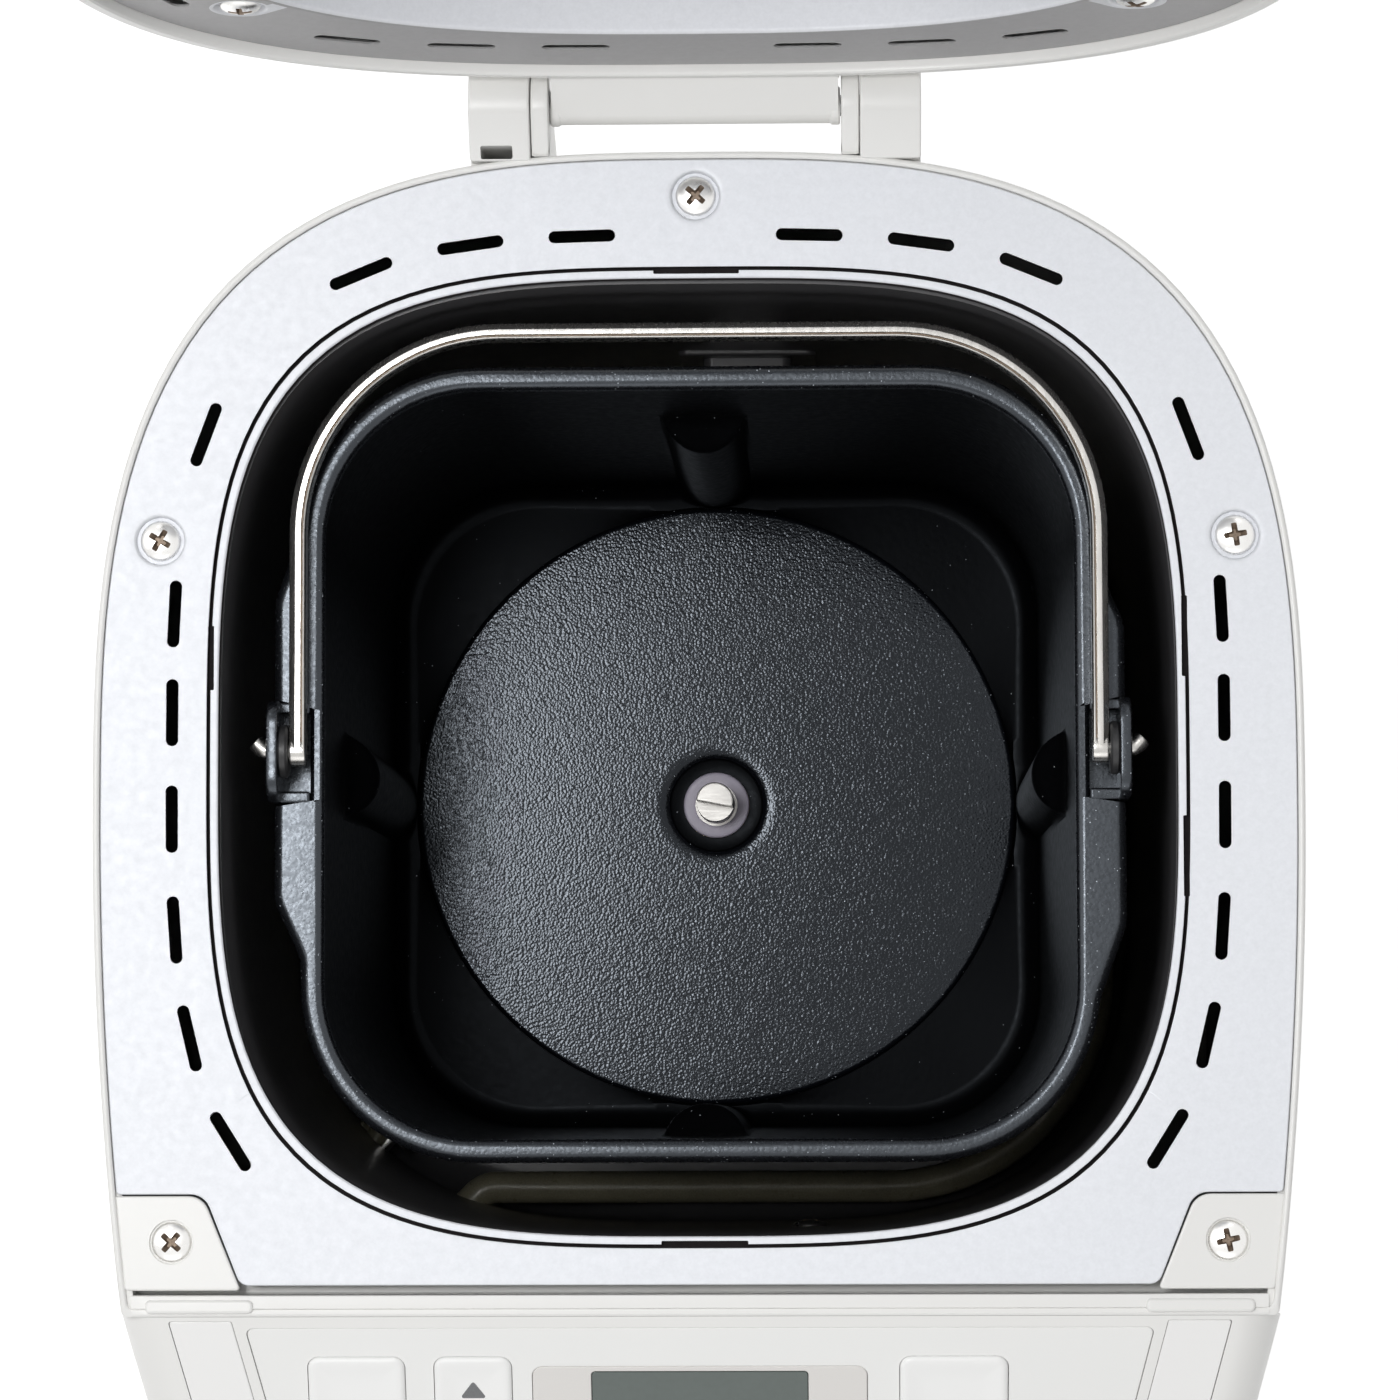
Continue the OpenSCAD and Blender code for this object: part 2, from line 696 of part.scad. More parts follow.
module rear_housing() color("whitesmoke") placed() difference() {
    union() {
        difference() {
            slab(body_outline(0, front_line), tray_top, deck_h + rim_rise - tray_top);
            slab(body_outline(shell_wall, front_line + cut), tray_top - cut, deck_h);
            slab(body_outline(rim_wall, front_line + cut), deck_h - deck_t, deck_h);
        }
        for (p = deck_screw_at) wall_boss(p, deck_h - boss_h, cup_z, deck_h - boss_h);
        for (p = base_screw_at) wall_boss(p, tray_top, tray_top + boss_h, tray_top + tray_rim_h + cover_gap);
        intersection() {
            union() {
                corner_tabs(0, deck_h - tab_t, tab_t);
                at(tab_screw_at) rod(boss_r, deck_h - boss_h, boss_h - tab_t);
                translate([0, -(front_line + deck_front + cover_gap) / 2, 0])
                    box(body_w, front_line - deck_front - cover_gap, deck_h - bridge_h, bridge_h - ledge_drop);
            }
            slab(body_outline(rim_wall / 2, front_line), 0, 2 * deck_h);
        }
    }
    at(tab_screw_at) rod(head_r + cover_gap, screw_z, deck_h);
    at(concat(deck_screw_at, tab_screw_at)) screw_hole(screw_z, shank_len);
    at(base_screw_at) rod(shank_r + seat_gap, tray_top - cut, shank_len - tray_t + 2 * cut);
    translate([0, back_reach, gland_z]) rotate([90, 0, 0])
        cylinder(r = gland_r + cover_gap, h = 4 * shell_wall, center = true);
}

module hinge_posts() color("whitesmoke") placed() difference() {
    for (s = [-1, 1]) translate([s * (hinge_half + post_w / 2), 0, 0]) {
        side_prism([[back_reach - post_root, hinge_z], [back_reach - post_root, hinge_z - post_drop],
                    [hinge_y + post_r * cos(50), hinge_z - post_r * sin(50)],
                    [hinge_y, hinge_z]], post_w);
        translate([-post_w / 2, hinge_y, hinge_z]) rotate([0, 90, 0]) cylinder(r = post_r, h = post_w);
    }
    slab(body_outline(0, front_line), 0, deck_h + rim_rise);
    slab(body_outline(0, front_line), deck_h, boss_h);
    translate([0, hinge_y, hinge_z]) rotate([0, 90, 0])
        cylinder(r = hinge_pin_r + run_gap, h = body_w, center = true);
}

module cord_gland() color("dimgray") placed()
translate([0, back_reach, gland_z]) rotate([90, 0, 0]) difference() {
    union() {
        rod(gland_r, -gland_nut, shell_wall + 2 * gland_nut);
        rod(gland_r + gland_lip, -gland_nut, gland_nut - cover_gap);
        rod(gland_r + gland_lip, shell_wall + cover_gap, gland_nut);
    }
    cylinder(r = gland_r / 2, h = 4 * gland_r, center = true);
}

// ---- Front housing and its panel ----

// Side view of the front housing, drawn in by t, with its top t_top below the slope
function front_profile(t, t_top, over) =
    let (top = slope_z - t_top / cos(panel_slope), run = front_reach - front_line)
    rounded([[over - front_line, tray_top - over], [over - front_line, top + over * tan(panel_slope)],
             [t - front_reach, top - (run - t) * tan(panel_slope)], [t - front_reach, tray_top - over]],
            [0, 0, brow_r - t, 0]);

module trim_strip(grow, z, h) {
    inner = fascia_half + trim_gap - grow;
    outer = fascia_half + trim_gap + trim_w + grow;
    top = grow - 1;
    low = -fascia_top - fascia_len - grow;
    for (m = [0, 1]) mirror([m, 0, 0])
        slab([[taper_half(inner, low), low], [taper_half(outer, low), low],
              [taper_half(outer, top), top], [taper_half(inner, top), top]], z, h);
}

module front_housing() color("whitesmoke") placed() difference() {
    union() {
        difference() {
            intersection() {
                slab(front_outline(0), tray_top, deck_h);
                side_prism(front_profile(0, 0, 0), 2 * body_w);
            }
            intersection() {
                slab(front_outline(front_wall, cut), tray_top - cut, deck_h);
                side_prism(front_profile(front_wall, panel_wall, cut), 2 * body_w);
            }
        }
        on_slope() for (s = [-1, 1]) for (y = standoff_y)
            translate([s * (taper_half(fascia_half, y) - ledge_w / 2), y, 0])
                rod(standoff_r, board_z, -fascia_z - fascia_t - board_z - cut);
    }
    on_slope() {
        slab(fascia_outline(cover_gap / 2, fascia_r), -fascia_z - fascia_t, panel_wall);
        slab(fascia_outline(-ledge_w, fascia_r), -panel_wall - cut, panel_wall);
        trim_strip(cover_gap / 2, -trim_t, panel_wall);
    }
}

module key_hole(place, w, grow, z, h)
    translate([place[0], place[1], 0])
        slab(rounded([[-w / 2 - grow, -key_h / 2 - grow], [w / 2 + grow, -key_h / 2 - grow],
                      [w / 2 + grow, key_h / 2 + grow], [-w / 2 - grow, key_h / 2 + grow]],
                     [key_r, key_r, key_r, key_r], 4), z, h);

module control_fascia() color("gainsboro") placed() on_slope() difference() {
    slab(fascia_outline(0, fascia_r), -fascia_z - fascia_t, fascia_t);
    for (k = keys) key_hole(k[0], k[1], cover_gap, -panel_wall, panel_wall + cut);
    translate([0, display_y, 0]) {
        box(display_w + 2 * seat_gap, display_h + 2 * seat_gap, -fascia_z - display_t, panel_wall);
        box(window_w - window_seat, window_h - window_seat, -panel_wall, panel_wall);
    }
}

module side_trims() color("white") placed() on_slope() trim_strip(0, -trim_t, trim_t);

module display_surround() color("lightgray") placed() on_slope() translate([0, display_y, 0]) difference() {
    box(display_w, display_h, -fascia_z - display_t, display_t);
    box(window_w, window_h, -fascia_z - display_t - cut, display_t + 2 * cut);
}

module display_window() color("darkslategray") placed() on_slope() translate([0, display_y, 0])
    box(window_w - 2 * seat_gap, window_h - 2 * seat_gap, -fascia_z - display_t, display_t);

module display_module() color("darkseagreen") placed() on_slope() translate([0, display_y, 0])
    box(window_w + module_rim[0], window_h + module_rim[1], board_z,
        -fascia_z - fascia_t - cover_gap - board_z);

module control_board() color("seagreen") placed() on_slope() {
    slab(fascia_outline(0, fascia_r), board_z - board_t, board_t);
    for (k = keys) translate([k[0][0], k[0][1], 0]) box(switch_w, switch_w, board_z, switch_h);
}

module key(k) placed() on_slope() {
    foot = -fascia_z - fascia_t - cover_gap;
    key_hole(k[0], k[1], 0, foot, fascia_t + cover_gap + key_rise);
    key_hole(k[0], k[1], key_flange, foot - key_flange_t, key_flange_t);
    translate([k[0][0], k[0][1], 0])
        rod(key_stem_r, board_z + switch_h + key_travel + run_gap,
            foot - board_z - switch_h - key_travel - run_gap);
}
module menu_key() color("white") key(keys[0]);
module crust_key() color("white") key(keys[1]);
module up_key() color("white") key(keys[2]);
module down_key() color("white") key(keys[3]);
module start_key() color("white") key(keys[4]);
module cancel_key() color("white") key(keys[5]);

// ---- Deck and chamber ----

// Cup that is pressed into a sheet around a screw, its floor below the sheet
module dimple_cup(z) difference() {
    rod(head_r + cup_rim, z, dimple_depth + deck_t);
    rod(head_r + cup_rim - deck_t, z + deck_t, dimple_depth + cut);
}

module deck_plate() color("silver") placed() difference() {
    union() {
        difference() {
            slab(body_outline(rim_wall + cover_gap / 2, deck_front, 3), deck_h - deck_t, deck_t);
            slab(super_outline(chamber_half - cover_gap - deck_t, chamber_roundness), deck_h - deck_t - cut,
                 deck_t + 2 * cut);
            corner_tabs(cover_gap, deck_h - deck_t - cut, deck_t + 2 * cut);
            at(deck_screw_at) rod(head_r + cup_hole, deck_h - deck_t - cut, deck_t + 2 * cut);
            vent_slots(deck_h - deck_t, deck_t);
        }
        difference() {
            slab(super_outline(chamber_half - cover_gap, chamber_roundness), deck_h - lip_depth, lip_depth);
            slab(super_outline(chamber_half - cover_gap - deck_t, chamber_roundness), deck_h - lip_depth - cut,
                 lip_depth + 2 * cut);
        }
        at(deck_screw_at) dimple_cup(cup_z);
    }
    at(deck_screw_at) screw_hole(screw_z, shank_len);
}

module deck_screws() color("silver") placed() at(concat(deck_screw_at, tab_screw_at)) screw(screw_z, shank_len);

module oven_chamber() color("dimgray") placed() difference() {
    slab(super_outline(chamber_half + chamber_t, chamber_roundness), chamber_under, deck_h - deck_t - chamber_under);
    slab(super_outline(chamber_half, chamber_roundness), chamber_floor, deck_h);
    rod(floor_hole_r, chamber_under - cut, chamber_t + 2 * cut);
    at(socket_screw_at) screw_hole(socket_z, socket_shank);
    heater_ends(heater_r + cover_gap);
    heater_bolt(cover_gap);
    front_bolt(cover_gap);
    sensor_stem(cover_gap);
}

// Tube that runs along +X, and the bends between its runs
module run(r, length) {
    rotate([0, 90, 0]) cylinder(r = r, h = length);
    translate([length, 0, 0]) children();
}
module bend(r, bend_r, angle) {
    s = sign(angle);
    translate([0, s * bend_r, 0]) {
        rotate([0, 0, s > 0 ? -90 : 90 + angle])
            rotate_extrude(angle = abs(angle)) translate([bend_r, 0]) circle(r = r);
        rotate([0, 0, angle]) translate([0, -s * bend_r, 0]) children();
    }
}

// The two ends leave the chamber side by side through its front left corner
module heater_left_end(r)
    rotate([0, 0, 225]) translate([heater_out, heater_left_y, heater_z]) rotate([0, 0, 180])
        run(r - end_step, heater_out - heater_left_x) bend(r, heater_bend_r, 90) children();
module heater_right_end(r)
    rotate([0, 0, 225]) translate([heater_out, heater_right_y, heater_z]) rotate([0, 0, 180])
        run(r - end_step, heater_out - heater_right_x) bend(r, heater_bend_r, -45) children();
module heater_ends(r) {
    heater_left_end(r);
    heater_right_end(r);
}

module heater() color("darkolivegreen") placed() {
    r = heater_corner_r;
    side = 2 * (heater_half - r);
    heater_left_end(heater_r) bend(heater_r, r, -45) run(heater_r, side) bend(heater_r, r, -90) run(heater_r, side)
        bend(heater_r, r, -90) run(heater_r, side) bend(heater_r, r, -90) run(heater_r, side + heater_front_run)
        bend(heater_r, heater_bend_r, 45) run(heater_r - end_step, heater_out - heater_right_x);
}

module heater_bolt(gap) rotate([0, 0, 225]) translate([bolt_x, heater_mid_y, heater_z]) rotate([0, 90, 0])
    rod(shank_r + gap, 0, heater_out - bolt_x);

module heater_flange() color("silver") placed() difference() {
    rotate([0, 0, 225]) translate([flange_x, heater_mid_y, heater_z])
        box(flange_t, flange_w, -flange_h / 2, flange_h);
    rotate([0, 0, 225]) for (y = [heater_left_y, heater_right_y])
        translate([flange_x, y, heater_z]) rotate([0, 90, 0])
            cylinder(r = heater_r + seat_gap, h = 4 * flange_t, center = true);
    heater_bolt(seat_gap);
}

module at_front_bolt() translate([front_bolt_x, -chamber_half, front_bolt_z]) rotate([90, 0, 0]) children();
module front_bolt(gap) at_front_bolt() rod(shank_r + gap, -bolt_in, bolt_in + bolt_out);

module chamber_screws() color("silver") placed() {
    heater_bolt(0);
    rotate([0, 0, 225]) translate([bolt_x, heater_mid_y, heater_z]) rotate([0, 90, 0]) rod(head_r, -head_h, head_h);
    front_bolt(0);
    at_front_bolt() rod(head_r, -head_h - fitting_gap, head_h);
}

module sensor_stem(gap) translate([sensor_x, chamber_half, sensor_z]) rotate([90, 0, 0])
    rod(sensor_r + gap, -sensor_len, sensor_len + cover_gap);
// Plate or block of the sensor whose back stands off the chamber's wall by off
module sensor_block(size, off) translate([sensor_x, chamber_half - off - size[1] / 2, sensor_z])
    box(size[0], size[1], -size[2] / 2, size[2]);

module temperature_sensor() color("dimgray") placed() {
    sensor_stem(0);
    sensor_block(sensor_bed, fitting_gap);
    sensor_block(sensor_head, fitting_gap + sensor_bed[1] / 2);
}

module pan_socket() color("silver") placed() difference() {
    union() {
        rod(socket_r, chamber_floor, socket_t);
        ring(base_ring_r + socket_wall[1], base_ring_r + socket_wall[0], chamber_floor, socket_t + socket_wall_h);
    }
    rod(socket_hole_r, chamber_floor - cut, socket_t + 2 * cut);
    at(socket_screw_at) screw_hole(socket_z, socket_shank);
}

module socket_screws() color("silver") placed() at(socket_screw_at) screw(socket_z, socket_shank);

// ---- Drive ----

module bearing_housing() color("silver") placed() difference() {
    union() {
        rod(bearing_r, bearing_z, bearing_len);
        rod(bearing_r + bearing_flange, frame_top, bearing_flange_t);
    }
    rod(bush_r + seat_gap, bearing_z - cut, bearing_len + 2 * cut);
}

module drive_bush() color("peru") placed() ring(bush_r, shaft_r + run_gap, bearing_z, bearing_len);

module drive_frame() color("silver") placed() difference() {
    slab(rounded([[-frame_half[0], frame_back], [-frame_half[1], post_y[2] - frame_r],
                  [frame_half[1], post_y[2] - frame_r], [frame_half[0], frame_back]],
                 [frame_r, frame_r, frame_r, frame_r]), frame_z, frame_t);
    rod(bearing_r + seat_gap, frame_z - cut, frame_t + 2 * cut);
    at(frame_post_at) screw_hole(frame_top, shank_len);
    translate([0, -motor_front, 0]) {
        rod(motor_shaft_r + coil_gap, frame_z - cut, frame_t + 2 * cut);
        at(motor_bolt_at) rod(shank_r + seat_gap, frame_z - cut, frame_t + 2 * cut);
    }
}

// Outline of the belt's run around both pulleys, off their rims by e
function belt_outline(e) =
    let (a = acos((pulley_r - motor_pulley_r) / motor_front))
    concat([for (i = [0 : 12]) let (t = 270 - a + 2 * a * i / 12)
               (motor_pulley_r + e) * [cos(t), sin(t)] - [0, motor_front]],
           [for (i = [0 : 36]) let (t = 270 + a + (360 - 2 * a) * i / 36) (pulley_r + e) * [cos(t), sin(t)]]);

module drive_belt() color("dimgray") placed() difference() {
    slab(belt_outline(cover_gap + belt_t), pulley_z + pulley_flange + cover_gap, belt_w);
    slab(belt_outline(cover_gap), pulley_z, pulley_w);
}

module drive_shaft() color("silver") placed()
    rod(shaft_r, pulley_z - nut_h, coupling_z + coupling_t - pulley_z + nut_h);

module drive_coupling() color("slategray") placed() difference() {
    union() {
        rod(wing_reach + coupling_rim, coupling_z, coupling_t);
        for (s = [0, 180]) rotate([0, 0, s]) translate([wing_reach - dog_in, (wing_w + dog_d) / 2 + cover_gap, 0])
            box(dog_w, dog_d, coupling_z, coupling_t + wing_h);
    }
    rod(shaft_r + seat_gap, coupling_z - cut, coupling_t + 2 * cut);
}

module drive_pulley() color("ivory") placed() difference() {
    rod(pulley_r, pulley_z, pulley_w);
    rod(shaft_r + seat_gap, pulley_z - cut, pulley_w + 2 * cut);
    for (i = [0 : 5]) rotate([0, 0, i * 60]) translate([pulley_r * 0.6, 0, 0])
        rod(pulley_r * 0.19, pulley_z - cut, pulley_w + 2 * cut);
}

module pulley_nut() color("silver") placed() difference() {
    translate([0, 0, pulley_z - nut_h + cut]) cylinder(r = shaft_r * 2, h = nut_h - cut, $fn = 6);
    rod(shaft_r + seat_gap, pulley_z - nut_h - cut, nut_h + 2 * cut);
}

module at_motor() placed() translate([0, -motor_front, 0]) children();

module stator_core() color("slategray") at_motor() difference() {
    ring(motor_r, rotor_r + cover_gap, core_z, core_h);
    at(motor_bolt_at) rod(shank_r + seat_gap, core_z - cut, core_h + 2 * cut);
}

module stator_coils() color("peru") at_motor() {
    ring(coil_r, rotor_r + coil_gap, core_z - coil_h, coil_h);
    ring(coil_r, rotor_r + coil_gap, core_z + core_h, coil_h);
}

// Cup with a bearing hub, open upwards
module motor_bell() difference() {
    union() {
        ring(motor_r, motor_r - bell_t, 0, bell_h);
        rod(motor_r, 0, bell_t);
        rod(motor_shaft_r + bell_hub, 0, bell_h - coil_h);
    }
    rod(motor_shaft_r + run_gap, -cut, bell_h);
    at(motor_bolt_at) rod(shank_r + seat_gap, -cut, bell_h);
}

module motor_bells() color("silver") at_motor() {
    translate([0, 0, frame_top]) motor_bell();
    translate([0, 0, core_z + core_h + bell_h]) mirror([0, 0, 1]) motor_bell();
}

module motor_bolts() color("silver") at_motor() at(motor_bolt_at) {
    rod(shank_r, frame_z, motor_top - frame_z);
    rod(shank_r * bolt_head, motor_top, head_h);
}

module rotor() color("gray") at_motor() ring(rotor_r, motor_shaft_r + seat_gap, core_z - cut, core_h + 2 * cut);

module motor_shaft() color("silver") at_motor() rod(motor_shaft_r, pulley_z, motor_top + shaft_over - pulley_z);

module motor_pulley() color("gray") at_motor() difference() {
    union() {
        rod(motor_pulley_r, pulley_z, pulley_w);
        for (z = [pulley_z, pulley_top - pulley_flange])
            rod(motor_pulley_r + belt_t + pulley_flange, z, pulley_flange);
    }
    rod(motor_shaft_r + seat_gap, pulley_z - cut, pulley_w + 2 * cut);
}

module run_capacitor() color("dimgray") placed() translate([-capacitor_x, power_y, 0])
    for (i = [0, 1]) rod(capacitor_r[i], tray_top, capacitor_h[i]);

// Block on the outer face of the power board, at y along it and z above the tray
module board_block(size, y, z) translate([(power_size[0] + size[0]) / 2, y, 0])
    box(size[0], size[1], tray_top + z, size[2]);

module power_board() color("seagreen") placed() translate([power_x, power_y, 0]) {
    box(power_size[0], power_size[1], tray_top, power_size[2]);
    board_block(coil_block, block_y[0], block_z[0]);
    board_block(relay_block, block_y[1], block_z[1]);
}

// ---- Bread pan ----

module pan_rib() translate([pan_half + rib_out, 0, floor_z]) intersection() {
    cylinder(r = rib_r, h = pan_depth - rib_drop + rib_r);
    side_prism([[-rib_r, 0], [rib_r, 0], [rib_r, pan_depth], [-rib_r, pan_depth]], 4 * rib_r);
    rotate([90, 0, 0]) translate([0, 0, -rib_r - cut]) linear_extrude(height = 2 * (rib_r + cut))
        polygon([[-rib_r - cut, 0], [rib_r, 0], [rib_r, pan_depth - rib_drop + rib_r],
                 [-rib_r - cut, pan_depth - rib_drop - rib_r]]);
}

module pan_body(grow, low) loft(
    [rounded_square(pan_floor_half + grow - low, pan_corner_r - low),
     rounded_square(pan_floor_half + grow, pan_corner_r),
     rounded_square(pan_half + grow, pan_corner_r + grow)],
    [floor_z - grow, floor_z - grow + low, rim_z]);

// Wing of the rim that carries an ear, on the +X side
module pan_wing_flange() slab(
    rounded([[pan_half, pivot_back + flange_at[0]], [pan_half + pan_rim_w, pivot_back + flange_at[0]],
             [wing_x, pivot_back + flange_at[1]], [wing_x, pivot_back + flange_at[2]],
             [pan_half + pan_rim_w, pivot_back + flange_at[3]], [pan_half, pivot_back + flange_at[3]]],
            [0, 0, flange_r, flange_r, 0, 0], 4), rim_z - pan_rim_h, pan_rim_h);

module pan_shell() color("dimgray") placed() difference() {
    union() {
        difference() {
            union() {
                pan_body(pan_wall, pan_foot_r);
                slab(rounded_square(pan_half + pan_rim_w, pan_corner_r + pan_rim_w), rim_z - pan_rim_h, pan_rim_h);
                for (m = [0, 1]) mirror([m, 0, 0]) pan_wing_flange();
            }
            loft([rounded_square(pan_floor_half, pan_corner_r), rounded_square(pan_half, pan_corner_r),
                  rounded_square(pan_half, pan_corner_r)], [floor_z, rim_z, rim_z + cut]);
            for (m = [0, 1]) mirror([m, 0, 0])
                translate([pan_half + pan_wall, pivot_back - ear_len / 2 - cover_gap, rim_z - pocket_h])
                cube([pocket_h, ear_len + 2 * cover_gap, 2 * pocket_h]);
        }
        intersection() {
            for (i = [0 : 3]) rotate([0, 0, i * 90]) pan_rib();
            pan_body(pan_wall / 2, 0);
        }
        ring(disc_r, disc_hole_r, floor_z - pan_wall / 2, disc_h + pan_wall / 2);
    }
    rod(pan_bush_r + seat_gap, pan_under - cut, 2 * cut + pan_wall + disc_h);
}

module pan_base_ring() color("gray") placed() {
    ring(base_ring_r, base_ring_r - base_ring_t, ring_z, base_ring_h);
    ring(base_ring_r, base_hole_r, pan_under - base_web_t, base_web_t);
}

module pan_bush() color("peru") placed() ring(pan_bush_r, journal_r + run_gap, bush_z, seal_z - bush_z);

module shaft_seal() color("lavender") placed() ring(seal_r, journal_r + run_gap, seal_z, seal_h);

module handle_ears() color("dimgray") placed()
    for (m = [0, 1]) mirror([m, 0, 0]) translate([0, pivot_back, 0]) difference() {
    union() {
        translate([ear_x, 0, 0]) rotate([90, 0, 90]) linear_extrude(height = ear_t)
            polygon(rounded([[-ear_len / 2, rim_z - ear_drop], [ear_len / 2, rim_z - ear_drop],
                             [ear_len / 2, pivot_z + handle_pin_r + ear_rise],
                             [-ear_len / 2, pivot_z + handle_pin_r + ear_rise]],
                            [0, 0, ear_r, ear_r], 5));
        translate([ear_seat, -ear_len / 2, rim_z - ear_drop]) cube([ear_x - ear_seat, ear_len, ear_tab_t]);
        for (s = [-1, 1]) translate([(ear_seat + ear_x) / 2, s * (ear_len - ear_t) / 2, 0])
            box(ear_x - ear_seat, ear_t, rim_z - ear_drop, ear_drop);
    }
    translate([0, 0, pivot_z]) rotate([0, 90, 0]) cylinder(r = handle_pin_r + run_gap, h = body_w);
}

module pan_shaft() color("silver") placed() difference() {
    union() {
        rod(journal_r, wing_z, journal_top - wing_z);
        rod(shaft_r, journal_top - cut, floor_z + disc_h + shaft_rise - journal_top + cut);
    }
    rotate([0, 0, -flat_turn]) translate([0, -shaft_r, floor_z + disc_h + shaft_rise - flat_h])
        box(3 * shaft_r, 2 * shaft_r - flat_depth, 0, flat_h + cut);
}

module pan_wing() color("gray") placed() difference() {
    union() {
        box(2 * wing_reach, wing_w, wing_z, wing_h);
        rod(journal_r + wing_hub, wing_z, wing_h);
    }
    rod(journal_r + seat_gap, wing_z - cut, wing_h + 2 * cut);
}

module strap_section() square([strap_t, strap_w], center = true);

module handle_strap() color("silver") placed() translate([0, pivot_back, pivot_z]) {
    leg = handle_reach - handle_corner_r;
    for (m = [0, 1]) mirror([m, 0, 0]) {
        translate([handle_half, 0, 0]) rotate([-90, 0, 0]) linear_extrude(height = leg) strap_section();
        translate([handle_half - handle_corner_r, leg, 0]) rotate_extrude(angle = 90)
            translate([handle_corner_r, 0]) strap_section();
        translate([0, handle_reach, 0]) rotate([0, 90, 0]) rotate([0, 0, 90])
            linear_extrude(height = handle_half - handle_corner_r) strap_section();
        translate([handle_half - strap_t / 2, 0, 0]) rotate([0, 90, 0]) {
            cylinder(r = strap_w / 2, h = strap_t);
            cylinder(r = handle_pin_r, h = ear_x + ear_t + pin_out - handle_half + strap_t / 2);
        }
    }
}

module handle_discs() color("dimgray") placed() for (m = [0, 1]) mirror([m, 0, 0])
    translate([handle_half + strap_t / 2 + cover_gap / 2, pivot_back, pivot_z]) rotate([0, 90, 0])
        ring(handle_pin_r + disc_rim, handle_pin_r + seat_gap, 0, disc_t);

// ---- Lid ----

function lid_outline(inset) = body_outline(inset, front_line - inset, lid_corner_r);

module lid_dome(t) {
    steps = 6;
    turn = [for (i = [0 : steps]) 90 * i / steps];
    loft(concat([lid_outline(t)], [for (a = turn) lid_outline(t + (lid_edge_w - t) * (1 - cos(a)))]),
         concat([lid_z - (t > 0 ? cut : 0)], [for (a = turn) lid_z + lid_side_h + (lid_edge_h - t) * sin(a)]));
}

module lid_cover() color("whitesmoke") open_lid() difference() {
    union() {
        difference() {
            lid_dome(0);
            lid_dome(lid_wall);
        }
        intersection() {
            at(lid_screw_at) rod(boss_r, liner_z + dimple_depth + deck_t, lid_h);
            lid_dome(lid_wall / 2);
        }
    }
    at(lid_screw_at) rod(shank_r + seat_gap, lid_z, liner_recess + shank_len);
}

module lid_liner() color("silver") open_lid() difference() {
    union() {
        difference() {
            slab(body_outline(lid_wall + cover_gap / 2, front_line - lid_wall - cover_gap / 2, lid_corner_r),
                 liner_z, deck_t);
            slab(super_outline(chamber_half - deck_t, liner_roundness), liner_z - cut, deck_t + 2 * cut);
            at(lid_screw_at) rod(head_r + cup_hole, liner_z - cut, deck_t + 2 * cut);
            vent_slots(liner_z, deck_t);
        }
        difference() {
            slab(super_outline(chamber_half, liner_roundness), liner_z, liner_dome);
            slab(super_outline(chamber_half - deck_t, liner_roundness), liner_z - cut, liner_dome - deck_t + cut);
        }
        at(lid_screw_at) translate([0, 0, 2 * liner_z + deck_t]) mirror([0, 0, 1]) dimple_cup(liner_z - dimple_depth);
    }
    at(lid_screw_at) rod(shank_r + seat_gap, liner_z - cut, liner_dome);
}

module lid_screws() color("silver") open_lid() at(lid_screw_at)
    translate([0, 0, 2 * (liner_z + dimple_depth)]) mirror([0, 0, 1]) screw(liner_z + dimple_depth, shank_len * 0.75);

module hinge_bar() color("whitesmoke") open_lid() difference() {
    union() {
        translate([0, hinge_y, hinge_z]) rotate([0, 90, 0])
            cylinder(r = hinge_bar_r, h = 2 * (hinge_half - cover_gap), center = true);
        translate([0, back_reach, 0])
            box(2 * (hinge_half - plate_in), 2 * plate_t, lid_z + cover_gap, plate_h);
        for (x = [-0.7, 0, 0.7]) translate([x * hinge_half, 0, 0])
            side_prism([[back_reach, lid_z + plate_h], [back_reach, lid_z + cover_gap], [hinge_y, hinge_z - hinge_rib],
                        [hinge_y + hinge_rib, hinge_z + hinge_rib]], plate_t);
    }
    slab(lid_outline(0), lid_z - cut, lid_side_h);
    translate([0, hinge_y, hinge_z]) rotate([0, 90, 0])
        cylinder(r = hinge_pin_r + seat_gap, h = body_w, center = true);
}

module hinge_pins() color("silver") open_lid() for (s = [-1, 1])
    translate([s * (hinge_half + post_w / 2 - pin_in), hinge_y, hinge_z]) rotate([0, 90, 0])
        cylinder(r = hinge_pin_r, h = post_w + 2 * pin_over, center = true);

base_tray();
feet();
chassis_screws();
rear_housing();
hinge_posts();
cord_gland();
front_housing();
control_fascia();
side_trims();
display_surround();
display_window();
display_module();
control_board();
deck_plate();
deck_screws();
oven_chamber();
heater();
heater_flange();
chamber_screws();
temperature_sensor();
pan_socket();
socket_screws();
bearing_housing();
drive_bush();
drive_frame();
stator_core();
stator_coils();
motor_bells();
motor_bolts();
run_capacitor();
power_board();
drive_belt();
drive_shaft();
drive_coupling();
drive_pulley();
pulley_nut();
rotor();
motor_shaft();
motor_pulley();
pan_shell();
pan_base_ring();
pan_bush();
shaft_seal();
handle_ears();
pan_shaft();
pan_wing();
handle_strap();
handle_discs();
lid_cover();
lid_liner();
lid_screws();
hinge_bar();
hinge_pins();
menu_key();
crust_key();
up_key();
down_key();
start_key();
cancel_key();
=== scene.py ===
"""Dresses the frame of a countertop bread maker: its shapes, finishes, studio and camera."""

import json
import logging
import math
from dataclasses import dataclass
from enum import Enum
from typing import Callable, Mapping, Optional, Sequence

import bmesh
import bpy
import numpy as np
from mathutils import Matrix, Vector


